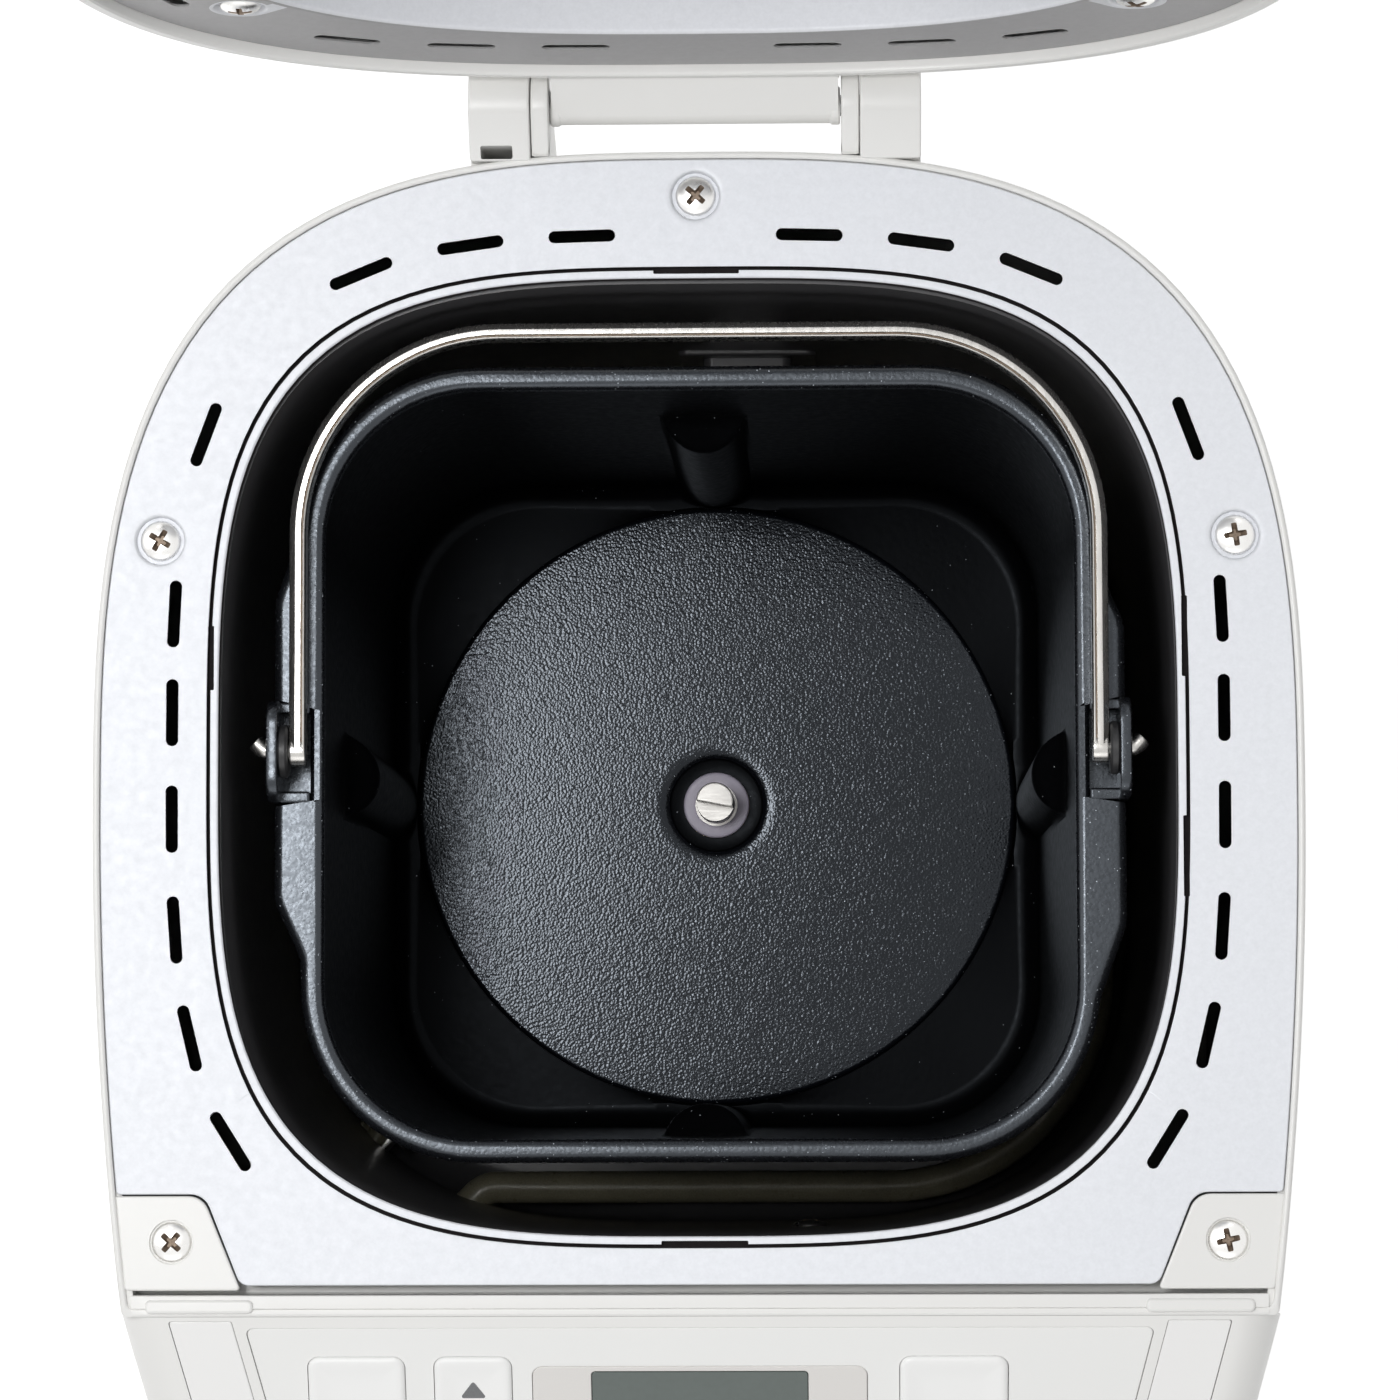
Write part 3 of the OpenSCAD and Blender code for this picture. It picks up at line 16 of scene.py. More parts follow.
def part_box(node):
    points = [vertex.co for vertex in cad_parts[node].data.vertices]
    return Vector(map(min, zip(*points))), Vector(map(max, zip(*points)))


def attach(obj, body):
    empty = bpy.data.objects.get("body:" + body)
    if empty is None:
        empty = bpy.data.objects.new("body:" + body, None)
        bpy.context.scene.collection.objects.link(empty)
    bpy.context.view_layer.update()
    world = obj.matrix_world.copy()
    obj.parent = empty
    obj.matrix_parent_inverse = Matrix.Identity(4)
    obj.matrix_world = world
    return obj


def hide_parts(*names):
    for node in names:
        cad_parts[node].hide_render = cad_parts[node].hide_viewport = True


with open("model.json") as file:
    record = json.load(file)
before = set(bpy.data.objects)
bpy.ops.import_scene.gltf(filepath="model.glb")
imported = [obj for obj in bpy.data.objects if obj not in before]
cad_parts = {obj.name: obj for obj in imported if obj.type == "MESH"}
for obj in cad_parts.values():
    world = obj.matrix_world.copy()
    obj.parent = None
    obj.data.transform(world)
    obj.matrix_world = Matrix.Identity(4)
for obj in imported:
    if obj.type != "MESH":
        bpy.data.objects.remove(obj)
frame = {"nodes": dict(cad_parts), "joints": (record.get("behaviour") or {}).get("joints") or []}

LOG = logging.getLogger("bread_maker")
MM = 0.001
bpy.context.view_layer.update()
SHARP = math.radians(32)
ACROSS = Matrix.Rotation(math.pi / 2, 4, "Y")
UPRIGHT = Matrix.Rotation(math.pi / 2, 4, "X")
FLIPPED = Matrix.Rotation(math.pi, 4, "X")
WHITE = (1.0, 1.0, 1.0, 1.0)
Ring = np.ndarray
Points = list[tuple[float, ...]]
Socket = bpy.types.NodeSocket


class Body(Enum):
    """Bodies of the frame that a piece can ride on."""

    BASE = "base"
    LID = "lid"
    PAN = "pan"
    SPINDLE = "pan_spindle"
    HANDLE = "handle"
    MENU = "menu_button"
    CRUST = "crust_button"
    UP = "up_button"
    DOWN = "down_button"
    START = "start_button"
    CANCEL = "cancel_button"


class Slot(Enum):
    """Material slots of the record."""

    WHITE = "white_plastic"
    FASCIA = "fascia_plastic"
    KEY = "key_plastic"
    GLASS = "display_glass"
    SURROUND = "display_surround"
    DECK = "deck_steel"
    CHAMBER = "chamber_black"
    NON_STICK = "non_stick"
    STAINLESS = "stainless"
    SCREW = "screw_steel"
    HEATER = "heater_sheath"
    STEEL = "plain_steel"
    ALUMINIUM = "cast_aluminium"
    BLACK = "black_plastic"
    RUBBER = "rubber"
    SEAL = "seal"


def by(x: float, y: float, z: float = 0.0) -> Matrix:
    """Move by x, y and z."""
    return Matrix.Translation((x, y, z))


def linked(name: str, data: Optional[bpy.types.ID]) -> bpy.types.Object:
    """New object in the scene."""
    item = bpy.data.objects.new(name, data)
    bpy.context.scene.collection.objects.link(item)
    return item


def plain(item: bpy.types.Object) -> bpy.types.Mesh:
    """Mesh of the object with its modifiers applied."""
    view = bpy.context.evaluated_depsgraph_get()
    return bpy.data.meshes.new_from_object(item.evaluated_get(view), depsgraph=view)


def outward(name: str, spots: Sequence, faces: Sequence, gap: float) -> bpy.types.Mesh:
    """Mesh with its faces outwards and the points closer than gap merged."""
    data = bpy.data.meshes.new(name)
    data.from_pydata(spots, [], faces)
    made = bmesh.new()
    made.from_mesh(data)
    bmesh.ops.remove_doubles(made, verts=made.verts, dist=gap)
    bmesh.ops.recalc_face_normals(made, faces=made.faces)
    made.to_mesh(data)
    made.free()
    return data


# ---- Finishes ----


class Nodes:
    """Node tree that is filled a node at a time."""

    tree: bpy.types.NodeTree

    def add(self, kind: str, inputs: Mapping, **settings: object) -> bpy.types.Node:
        """Adds a node.

        Args:
            kind: Type of the node.
            inputs: Values or sockets for its inputs, by name or number.
            **settings: Properties of the node.

        Returns:
            The new node.
        """
        node = self.tree.nodes.new(kind)
        for key, value in settings.items():
            setattr(node, key, value)
        for key, value in inputs.items():
            if isinstance(value, Socket):
                self.tree.links.new(value, node.inputs[key])
            else:
                node.inputs[key].default_value = value
        return node

    def sum(self, operation: str, one: object, two: object = 0.0) -> Socket:
        """Result of a sum of two values."""
        return self.add("ShaderNodeMath", {0: one, 1: two}, operation=operation).outputs[0]


class Graph(Nodes):
    """Shader tree of a material or of the world."""

    def __init__(self, owner: object, output: str = "ShaderNodeOutputMaterial") -> None:
        """Empties the owner's tree and gives it an output.

        Args:
            owner: The material or the world.
            output: Type of the output node.
        """
        owner.use_nodes = True
        self.tree = owner.node_tree
        self.tree.nodes.clear()
        self.output = self.tree.nodes.new(output)

    def close(self, result: Socket) -> None:
        """Links the result to the output."""
        self.tree.links.new(result, self.output.inputs[0])

    def place(self, scale: Sequence[float] = (1, 1, 1)) -> Socket:
        """Object coordinates in millimetres, stretched by scale."""
        spot = self.add("ShaderNodeTexCoord", {})
        size = tuple(1000 * s for s in scale)
        return self.add("ShaderNodeMapping", {"Vector": spot.outputs["Object"], "Scale": size}).outputs[0]

    def noise(self, at: Socket, size: float, detail: float = 3) -> Socket:
        """Noise whose grains are about size millimetres across."""
        node = self.add("ShaderNodeTexNoise", {"Vector": at, "Scale": 1 / size, "Detail": detail})
        return node.outputs["Fac"]

    def span(self, value: Socket, span: Sequence[float]) -> Socket:
        """Maps a value from (low, high) to (to low, to high), clamped."""
        keys = ("From Min", "From Max", "To Min", "To Max")
        return self.add("ShaderNodeMapRange", {"Value": value, **dict(zip(keys, span))}).outputs[0]

    def seen(self) -> Socket:
        """1 for rays from the camera and for those that gloss or glass sends on."""
        path = self.add("ShaderNodeLightPath", {})
        total = path.outputs["Is Camera Ray"]
        for kind in ("Is Glossy Ray", "Is Transmission Ray"):
            total = self.sum("MAXIMUM", total, path.outputs[kind])
        return total

    def blend(self, factor: Socket, one: object, two: object) -> Socket:
        """Colour between one and two."""
        return self.add("ShaderNodeMix", {0: factor, 6: one, 7: two}, data_type="RGBA").outputs[2]

    def bump(self, height: Socket, relief: float, **under: Socket) -> Socket:
        """Normal with a relief in millimetres, over the normal under it where that is given."""
        sizes = {"Height": height, "Distance": relief * MM, "Strength": 1.0}
        return self.add("ShaderNodeBump", {**sizes, **under}).outputs[0]

    def cells(self, at: Socket, size: float) -> Mapping[str, Socket]:
        """Outputs of a pattern of cells about size millimetres across."""
        return self.add("ShaderNodeTexVoronoi", {"Vector": at, "Scale": 1 / size}).outputs


def shade(color: Sequence[float], gain: float) -> tuple[float, float, float, float]:
    """Colour made lighter or darker, with alpha 1."""
    return (*[min(1.0, c * gain) for c in color], 1.0)


@dataclass(frozen=True)
class Finish:
    """Opaque finish with grain and soft mottle in its colour, gloss and relief."""

    name: str
    color: tuple[float, float, float]
    roughness: float = 0.4
    metallic: float = 0.0
    specular: float = 0.5
    grain: float = 0.5
    relief: float = 0.02
    mottle: float = 0.03
    cloud: float = 25.0
    gloss_play: float = 0.05
    stretch: tuple[float, float, float] = (1, 1, 1)
    coat: float = 0.0
    scatter: float = 0.0
    tint: tuple[float, float, float] = (1, 1, 1)

    def base(self, graph: Graph, at: Socket) -> Socket:
        """Colour that drifts a little over the surface and from grain to grain."""
        drift = graph.span(graph.noise(at, self.cloud, 2), (0.3, 0.7, 0, 1))
        fine = graph.span(graph.noise(at, self.grain, 2), (0.3, 0.7, 0, 1))
        both = graph.span(graph.sum("ADD", drift, fine), (0.2, 1.8, 0, 1))
        low, high = shade(self.color, 1 - self.mottle), shade(self.color, 1 + self.mottle)
        return graph.blend(both, low, high)

    def surface(self, graph: Graph, at: Socket) -> Socket:
        """Normal with the relief of the grain."""
        return graph.bump(graph.noise(at, self.grain, 3), self.relief)

    def build(self) -> bpy.types.Material:
        """Makes the material.

        Returns:
            The material, ready for a piece.
        """
        material = bpy.data.materials.new(self.name)
        graph = Graph(material)
        at = graph.place(self.stretch)
        gloss = (0.3, 0.7, max(0.02, self.roughness - self.gloss_play), self.roughness + self.gloss_play)
        shader = graph.add("ShaderNodeBsdfPrincipled", {
            "Base Color": self.base(graph, at),
            "Roughness": graph.span(graph.noise(at, self.grain * 3, 3), gloss),
            "Normal": self.surface(graph, at),
            "Metallic": self.metallic,
            "Specular IOR Level": self.specular,
            "Specular Tint": (*self.tint, 1.0),
            "Coat Weight": self.coat,
            "Coat Roughness": 0.12,
        })
        if self.scatter:
            shader.inputs["Subsurface Weight"].default_value = self.scatter
            shader.inputs["Subsurface Radius"].default_value = (0.9, 0.8, 0.7)
            shader.inputs["Subsurface Scale"].default_value = MM
        graph.close(shader.outputs[0])
        material.diffuse_color = shade(self.color, 1)
        return material


@dataclass(frozen=True)
class NonStick(Finish):
    """Black non-stick coating: orange peel with fine bright flecks in it."""

    peel: float = 0.58
    peel_relief: float = 0.034
    fleck: float = 0.56
    fleck_share: float = 0.1
    fleck_color: tuple[float, float, float] = (0.85, 0.92, 1.0)
    tint: tuple[float, float, float] = (0.82, 0.9, 1.0)

    def base(self, graph: Graph, at: Socket) -> Socket:
        """Black with bright flecks of many sizes."""
        body = super().base(graph, at)
        cells = graph.cells(at, self.fleck)
        split = graph.add("ShaderNodeSeparateColor", {0: cells["Color"]})
        chosen = graph.span(split.outputs[0], (1 - self.fleck_share, 1, 0, 1))
        near = graph.span(cells["Distance"], (0.12, 0.24, 1, 0))
        return graph.blend(graph.sum("MULTIPLY", chosen, near), body, shade(self.fleck_color, 1))

    def surface(self, graph: Graph, at: Socket) -> Socket:
        """Normal with orange peel over the grain."""
        dents = graph.cells(at, self.peel)["Distance"]
        rough = graph.sum("SUBTRACT", graph.noise(at, self.peel * 1.3, 2), dents)
        first = graph.bump(rough, self.peel_relief)
        return graph.bump(graph.noise(at, self.grain, 2), self.relief, Normal=first)


SHEET = dict(grain=0.55, specular=0.3, relief=0.006, mottle=0.03, cloud=1.4, gloss_play=0.04)
FINISHES = {
    "shell": Finish("warm_white_plastic", (0.855, 0.85, 0.83), 0.34, grain=0.35, relief=0.003,
                    mottle=0.005, gloss_play=0.02),
    # Trim, fascia and keys are lighter than the shell: partly their own tone, partly painted light standing in
    # for the light that falls on the front slope.
    "trim": Finish("bright_white_plastic", (0.895, 0.89, 0.88), 0.26, relief=0.0015, mottle=0.004,
                   gloss_play=0.01),
    "fascia": Finish("satin_fascia_plastic", (0.89, 0.89, 0.875), 0.46, grain=0.3, relief=0.008,
                     mottle=0.008),
    "key": Finish("key_cap_plastic", (0.92, 0.92, 0.91), 0.36, grain=0.4, relief=0.003, mottle=0.004,
                  gloss_play=0.02),
    "ink": Finish("grey_key_print", (0.16, 0.165, 0.17), 0.5, grain=0.25, mottle=0.12),
    "surround": Finish("warm_grey_surround", (0.76, 0.74, 0.715), 0.42, grain=0.3, relief=0.006,
                       mottle=0.01),
    "glass": Finish("grey_display_cover", (0.085, 0.108, 0.098), 0.12, grain=1.2, relief=0.0003,
                    mottle=0.05, cloud=12, gloss_play=0.02),
    "deck": Finish("satin_silver_sheet", (0.73, 0.745, 0.78), 0.55, metallic=0.25, **SHEET),
    "liner": Finish("satin_liner_sheet", (0.75, 0.76, 0.79), 0.5, metallic=0.12, **SHEET),
    # Darker copy of the liner sheet for the lid's flat flange: painted shade on the same sheet.
    "flange": Finish("shaded_liner_flange", (0.43, 0.425, 0.43), 0.5, metallic=0.2, **SHEET),
    # Near-black, barely reflecting finish for the deck sheet's faces below its top: painted shade in the
    # channel, bend, slot and edge walls.
    "gap": Finish("dark_sheet_gap", (0.02, 0.017, 0.018), 0.7, specular=0.08, grain=0.6, relief=0.002,
                  mottle=0.2, cloud=4),
    "chamber": Finish("black_enamel_sheet", (0.065, 0.064, 0.068), 0.3, grain=1.0, relief=0.001,
                      mottle=0.08, gloss_play=0.02),
    "non_stick": NonStick("speckled_non_stick", (0.003, 0.0036, 0.0055), 0.13, specular=0.35,
                          grain=0.35, relief=0.004, mottle=0.2, gloss_play=0.02),
    "rim": NonStick("speckled_rim_coat", (0.006, 0.0065, 0.008), 0.28, specular=0.8, grain=0.3,
                    relief=0.005, mottle=0.2, peel=0.7, peel_relief=0.02, fleck_share=0.12),
    # Near-black coat of the pan's walls, outside and hub ring: the coating's own black, made darker and with its
    # reflection cut, which stands in for the shade on the deep walls and in the hub ring (painted shade).
    "wall": NonStick("smooth_wall_coat", (0.0018, 0.0019, 0.0023), 0.34, specular=0.06, relief=0.003,
                     mottle=0.2, peel=1.4, peel_relief=0.012, fleck_share=0.012),
    "strap": Finish("polished_strap_steel", (0.56, 0.545, 0.52), 0.27, metallic=1, grain=0.35,
                    relief=0.002, mottle=0.04, gloss_play=0.06, stretch=(1, 0.15, 1)),
    "screw": Finish("plated_screw_steel", (0.86, 0.85, 0.83), 0.3, metallic=1, relief=0.001,
                    mottle=0.02, cloud=3),
    # Dark brownish finish laid in the screw recesses and in the strap's groove: painted shade.
    "recess": Finish("shaded_screw_recess", (0.24, 0.185, 0.14), 0.5, metallic=0.6, grain=0.4,
                     relief=0.002, mottle=0.2, cloud=1),
    "heater": Finish("baked_heater_sheath", (0.26, 0.24, 0.165), 0.36, grain=0.4, relief=0.006,
                     mottle=0.25, cloud=14, gloss_play=0.1),
    "steel": Finish("zinc_plated_steel", (0.55, 0.55, 0.56), 0.36, metallic=1, relief=0.006,
                    mottle=0.08, cloud=8, gloss_play=0.12),
    "shaft": Finish("turned_stainless", (0.68, 0.665, 0.64), 0.55, metallic=1, grain=0.3, relief=0.004,
                    mottle=0.06, stretch=(0.3, 3, 3)),
    "cast": Finish("die_cast_aluminium", (0.6, 0.6, 0.605), 0.48, metallic=1, grain=0.7, relief=0.04,
                   mottle=0.08, cloud=10, gloss_play=0.12),
    "bronze": Finish("sintered_bronze", (0.62, 0.42, 0.22), 0.45, metallic=1, grain=0.3, mottle=0.15,
                     cloud=5),
    "copper": Finish("enamelled_copper", (0.62, 0.28, 0.12), 0.32, metallic=0.8, relief=0.05,
                     mottle=0.15, cloud=4, coat=0.3),
    "board": Finish("green_circuit_board", (0.05, 0.2, 0.09), 0.4, grain=1.2, relief=0.01, mottle=0.25,
                    cloud=6, coat=0.2),
    "black": Finish("black_moulded_plastic", (0.018, 0.018, 0.019), 0.42, grain=0.4, relief=0.015,
                    mottle=0.15),
    "pulley": Finish("natural_acetal", (0.74, 0.71, 0.62), 0.4, grain=0.6, relief=0.008, scatter=0.1),
    "rubber": Finish("black_rubber", (0.03, 0.03, 0.03), 0.72, grain=0.6, relief=0.03, mottle=0.2,
                     cloud=6, gloss_play=0.08),
    "seal": Finish("lavender_silicone", (0.46, 0.425, 0.52), 0.42, relief=0.003, mottle=0.02),
}


class Palette:
    """Every finish of the machine, built once."""

    def __init__(self) -> None:
        """Builds the materials."""
        for name, finish in FINISHES.items():
            setattr(self, name, finish.build())
        self.screws = [self.screw, self.recess]


PALETTE = Palette()


# ---- Outlines and shapes, in millimetres from the pan shaft ----


def arc_points(centre: Sequence[float], radius: float, start: float, turn: float, steps: int) -> Points:
    """Points of an arc.

    Args:
        centre: Middle of the arc.
        radius: Its radius.
        start: Direction of its first point in degrees.
        turn: Angle it covers in degrees.
        steps: Number of its chords.

    Returns:
        The points, ends included.
    """
    angles = [math.radians(start + turn * i / steps) for i in range(steps + 1)]
    return [(centre[0] + radius * math.cos(a), centre[1] + radius * math.sin(a)) for a in angles]


def rounded(points: Sequence[Sequence[float]], radii: Sequence[float], steps: int = 8) -> Ring:
    """Polygon with rounded corners.

    Args:
        points: Its corners, anticlockwise.
        radii: Radius of each corner.
        steps: Chords of each rounded corner.

    Returns:
        The outline.
    """
    out: list[Sequence[float]] = []
    count = len(points)
    for i, radius in enumerate(radii):
        a, b, c = (Vector(points[(i + k) % count]) for k in (-1, 0, 1))
        if radius <= 0:
            out.append(tuple(b))
            continue
        u, v = (a - b).normalized(), (c - b).normalized()
        half = u.angle(v) / 2
        centre = b + (u + v).normalized() * (radius / math.sin(half))
        p, q = (b + w * (radius / math.tan(half)) - centre for w in (u, v))
        start, stop = math.degrees(math.atan2(p.y, p.x)), math.degrees(math.atan2(q.y, q.x))
        out += arc_points(centre, radius, start, (stop - start + 540) % 360 - 180, steps)
    return np.array(out, float)


def rounded_box(half_x: float, half_y: float, radius: float, steps: int = 8) -> Ring:
    """Rectangle about the origin with rounded corners."""
    corners = [(-half_x, -half_y), (half_x, -half_y), (half_x, half_y), (-half_x, half_y)]
    return rounded(corners, [radius] * 4, steps)


def densified(outline: Ring, step: float) -> Ring:
    """Outline with points at most a step apart along its long edges."""
    out: list[Ring] = []
    for a, b in zip(outline, np.roll(outline, -1, 0)):
        count = max(1, round(float(np.linalg.norm(b - a)) / step))
        out += [a + (b - a) * k / count for k in range(count)]
    return np.array(out)


def circle(radius: float, steps: int = 48, centre: Sequence[float] = (0, 0)) -> Ring:
    """Circle as an outline."""
    return np.array(arc_points(centre, radius, 0, 360, steps)[:-1], float)


def super_reach(half: float, power: float, angles: Ring) -> Ring:
    """Distance from the middle to a superellipse in the directions angles, in radians."""
    return half / (np.abs(np.cos(angles)) ** power + np.abs(np.sin(angles)) ** power) ** (1 / power)


def polar(radius: Ring, angles: Ring) -> Ring:
    """Outline from distances and directions."""
    return np.stack([radius * np.cos(angles), radius * np.sin(angles)], 1)


def reach(outline: Ring, angles: Ring) -> Ring:
    """Distance from the origin to a star-shaped outline in the directions angles, in radians."""
    turn = np.mod(np.arctan2(outline[:, 1], outline[:, 0]), 2 * np.pi)
    order = np.argsort(turn)
    turn, points = turn[order], outline[order]
    turn = np.concatenate([[turn[-1] - 2 * np.pi], turn, [turn[0] + 2 * np.pi]])
    points = np.concatenate([points[-1:], points, points[:1]])
    asked = np.mod(angles, 2 * np.pi)
    last = np.clip(np.searchsorted(turn, asked, side="right"), 1, len(turn) - 1)
    p, q = points[last - 1], points[last]
    edge = q - p
    ray = np.stack([np.cos(asked), np.sin(asked)], 1)
    cross = ray[:, 0] * edge[:, 1] - ray[:, 1] * edge[:, 0]
    return (p[:, 0] * edge[:, 1] - p[:, 1] * edge[:, 0]) / np.where(np.abs(cross) < 1e-9, 1e-9, cross)


def inset(outline: Ring, distance: float) -> Ring:
    """Outline drawn in by a distance, or out by a negative one."""
    ahead = np.roll(outline, -1, 0) - outline
    ahead /= np.linalg.norm(ahead, axis=1, keepdims=True)
    inward = np.stack([-ahead[:, 1], ahead[:, 0]], 1)
    before = np.roll(inward, 1, 0)
    both = before + inward
    return outline + distance * both / (1 + np.sum(before * inward, 1, keepdims=True))


def level(outline: Ring, z: object) -> Ring:
    """Outline at the height z, or at a height for each point."""
    return np.column_stack([outline, np.broadcast_to(z, len(outline))])


def standing(outline: Ring, x: float) -> Ring:
    """Outline of y and z that stands across the machine at x."""
    return np.column_stack([np.full(len(outline), x), outline])


def quarter(count: int) -> Points:
    """1 - cos and 1 - sin of count angles over a quarter turn."""
    return [(1 - math.cos(a), 1 - math.sin(a)) for a in np.linspace(0, math.pi / 2, count)]


def round_profile(radius: float, steps: int = 4) -> Points:
    """Inset and drop of a rounded top edge, from its side to its top face."""
    return [(radius * c, radius * s) for c, s in quarter(steps + 1)]


class Shape:
    """Points and faces, in millimetres from the pan shaft, that become one mesh."""

    def __init__(self) -> None:
        """Starts empty."""
        self.points: Points = []
        self.faces: list[tuple[int, ...]] = []

    def loft(self, rings: Sequence[Ring], wrap: bool = False,
             caps: tuple[bool, bool] = (True, True)) -> "Shape":
        """Skin over rings with as many points each.

        Args:
            rings: The rings, anticlockwise seen from where the skin grows to.
            wrap: Whether the last ring joins the first, as round a frame.
            caps: Whether the first and last rings are closed by a face.

        Returns:
            The shape itself.
        """
        base, count = len(self.points), len(rings[0])
        for ring in rings:
            self.points += [tuple(p) for p in ring]
        rows = len(rings)
        for k in range(rows if wrap else rows - 1):
            here, there = base + k * count, base + ((k + 1) % rows) * count
            for i in range(count):
                j = (i + 1) % count
                self.faces.append((here + i, here + j, there + j, there + i))
        if not wrap:
            if caps[0]:
                self.faces.append(tuple(base + i for i in range(count - 1, -1, -1)))
            if caps[1]:
                last = base + (rows - 1) * count
                self.faces.append(tuple(last + i for i in range(count)))
        return self

    def block(self, outline: Ring, low: float, high: float, top: float = 0.3, bottom: float = 0.0) -> "Shape":
        """Upright prism with rounded edges.

        Args:
            outline: Its plan, anticlockwise.
            low: Height of its bottom.
            high: Height of its top.
            top: Radius of the edge round its top.
            bottom: Radius of the edge round its bottom.

        Returns:
            The shape itself.
        """
        edges = [(i, low + d) for i, d in reversed(round_profile(bottom))] if bottom else [(0, low)]
        edges += [(i, high - d) for i, d in round_profile(top)] if top else [(0, high)]
        return self.loft([level(inset(outline, i) if i else outline, z) for i, z in edges])

    def turned(self, profile: Sequence[tuple[float, float]], steps: int = 48, wrap: bool = False) -> "Shape":
        """Round shape about the vertical through the origin.

        Args:
            profile: Its radius and height from point to point; a radius of 0 closes it.
            steps: Number of its sides.
            wrap: Whether the profile closes on itself, as in a ring.

        Returns:
            The shape itself.
        """
        return self.loft([level(circle(max(r, 1e-4), steps), z) for r, z in profile], wrap)

    def add(self, other: "Shape", place: Optional[Matrix] = None) -> "Shape":
        """Adds another shape, moved by place."""
        base = len(self.points)
        spots = [place @ Vector(p) for p in other.points] if place else other.points
        self.points += [tuple(p) for p in spots]
        self.faces += [tuple(base + i for i in f) for f in other.faces]
        return self

    def moved(self, place: Matrix) -> "Shape":
        """Copy of the shape moved by place."""
        return Shape().add(self, place)

    def mirrored(self) -> "Shape":
        """Copy of the shape on the other side of the middle plane."""
        other = Shape()
        other.points = [(-p[0], p[1], p[2]) for p in self.points]
        other.faces = [tuple(reversed(f)) for f in self.faces]
        return other

    def pair(self) -> "Shape":
        """The shape with its mirrored twin."""
        return Shape().add(self).add(self.mirrored())

    def mesh(self, name: str) -> bpy.types.Mesh:
        """Mesh in metres in the frame, its doubles merged and its faces outwards."""
        spots = (np.array(self.points, float) + np.array([0, DATUM.origin_y, 0])) * MM
        return outward(name, spots.tolist(), self.faces, 2e-6)

    def template(self) -> bpy.types.Object:
        """Object about the origin, in metres, for a tree to repeat."""
        spots = [tuple(v * MM for v in p) for p in self.points]
        return bpy.data.objects.new("template", outward("template", spots, self.faces, 1e-6))


def turned_about(axis: str, degrees: float, spot: Sequence[float]) -> Matrix:
    """Turn about an axis through a spot, in millimetres."""
    centre = Matrix.Translation(Vector(spot))
    return centre @ Matrix.Rotation(math.radians(degrees), 4, axis) @ centre.inverted()


class Piece:
    """Object in the making, with the steps that shape and finish it."""

    def __init__(self, name: str, source: object) -> None:
        """Makes the object.

        Args:
            name: Name of the piece.
            source: A Shape, or a mesh that is already in the frame.
        """
        data = source.mesh(name) if isinstance(source, Shape) else source
        self.item = linked(name, data)

    def settle(self) -> "Piece":
        """Turns the piece with its modifiers into a plain mesh."""
        data = plain(self.item)
        self.item.modifiers.clear()
        self.item.data = data
        return self

    def mark(self, rule: Callable[[Vector, Vector], int]) -> "Piece":
        """Gives each face the number of its finish.

        Args:
            rule: Number for a face's middle, in millimetres from the pan shaft, and normal.

        Returns:
            The piece itself.
        """
        for face in self.item.data.polygons:
            face.material_index = int(rule(from_shaft(face.center), face.normal))
        return self

    def combine(self, tool: Shape, how: str = "DIFFERENCE", overlaps: bool = False) -> "Piece":
        """Cuts a shape out of the piece, or joins or keeps what they share.

        Args:
            tool: The other shape.
            how: DIFFERENCE, UNION or INTERSECT.
            overlaps: Whether either shape is made of bodies that run into each other.

        Returns:
            The piece itself.
        """
        other = Piece(self.item.name + "_tool", tool)
        step = self.item.modifiers.new("combine", "BOOLEAN")
        step.object, step.operation, step.solver, step.use_self = other.item, how, "EXACT", overlaps
        self.settle()
        data = other.item.data
        bpy.data.objects.remove(other.item)
        bpy.data.meshes.remove(data)
        return self

    def wall(self, thickness: float) -> "Piece":
        """Gives an open skin a wall behind it, in millimetres, and settles it."""
        step = self.item.modifiers.new("wall", "SOLIDIFY")
        step.thickness, step.offset, step.use_even_offset = thickness * MM, -1, True
        return self.settle()

    def soften(self, width: float, angle: float = 34, segments: int = 2) -> "Piece":
        """Rounds the edges that are sharper than angle, width millimetres wide, and settles it."""
        step = self.item.modifiers.new("soften", "BEVEL")
        step.width, step.segments, step.limit_method = width * MM, segments, "ANGLE"
        step.angle_limit, step.use_clamp_overlap = math.radians(angle), True
        return self.settle()

    def done(self, finish: object, body: Body, slot: Slot, *nodes: str) -> bpy.types.Object:
        """Dresses the piece and lets it ride.

        Args:
            finish: Its material, or several with the faces' indices already set.
            body: Body it rides on.
            slot: Slot of the record; not used.
            *nodes: Nodes of the frame it stands for.

        Returns:
            The finished object.
        """
        data = self.item.data
        finishes = finish if isinstance(finish, (list, tuple)) else [finish]
        marks = [p.material_index for p in data.polygons]
        data.materials.clear()
        for one in finishes:
            data.materials.append(one)
        for face, mark in zip(data.polygons, marks):
            face.material_index = min(mark, len(finishes) - 1)
        data.polygons.foreach_set("use_smooth", [True] * len(data.polygons))
        data.set_sharp_from_angle(angle=SHARP)
        step = self.item.modifiers.new("even", "WEIGHTED_NORMAL")
        step.keep_sharp, step.weight = True, 60
        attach(self.item, body.value)
        if nodes:
            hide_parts(*nodes)
        LOG.info("%s: %d faces, rides on %s", self.item.name, len(data.polygons), body.value)
        return self.item


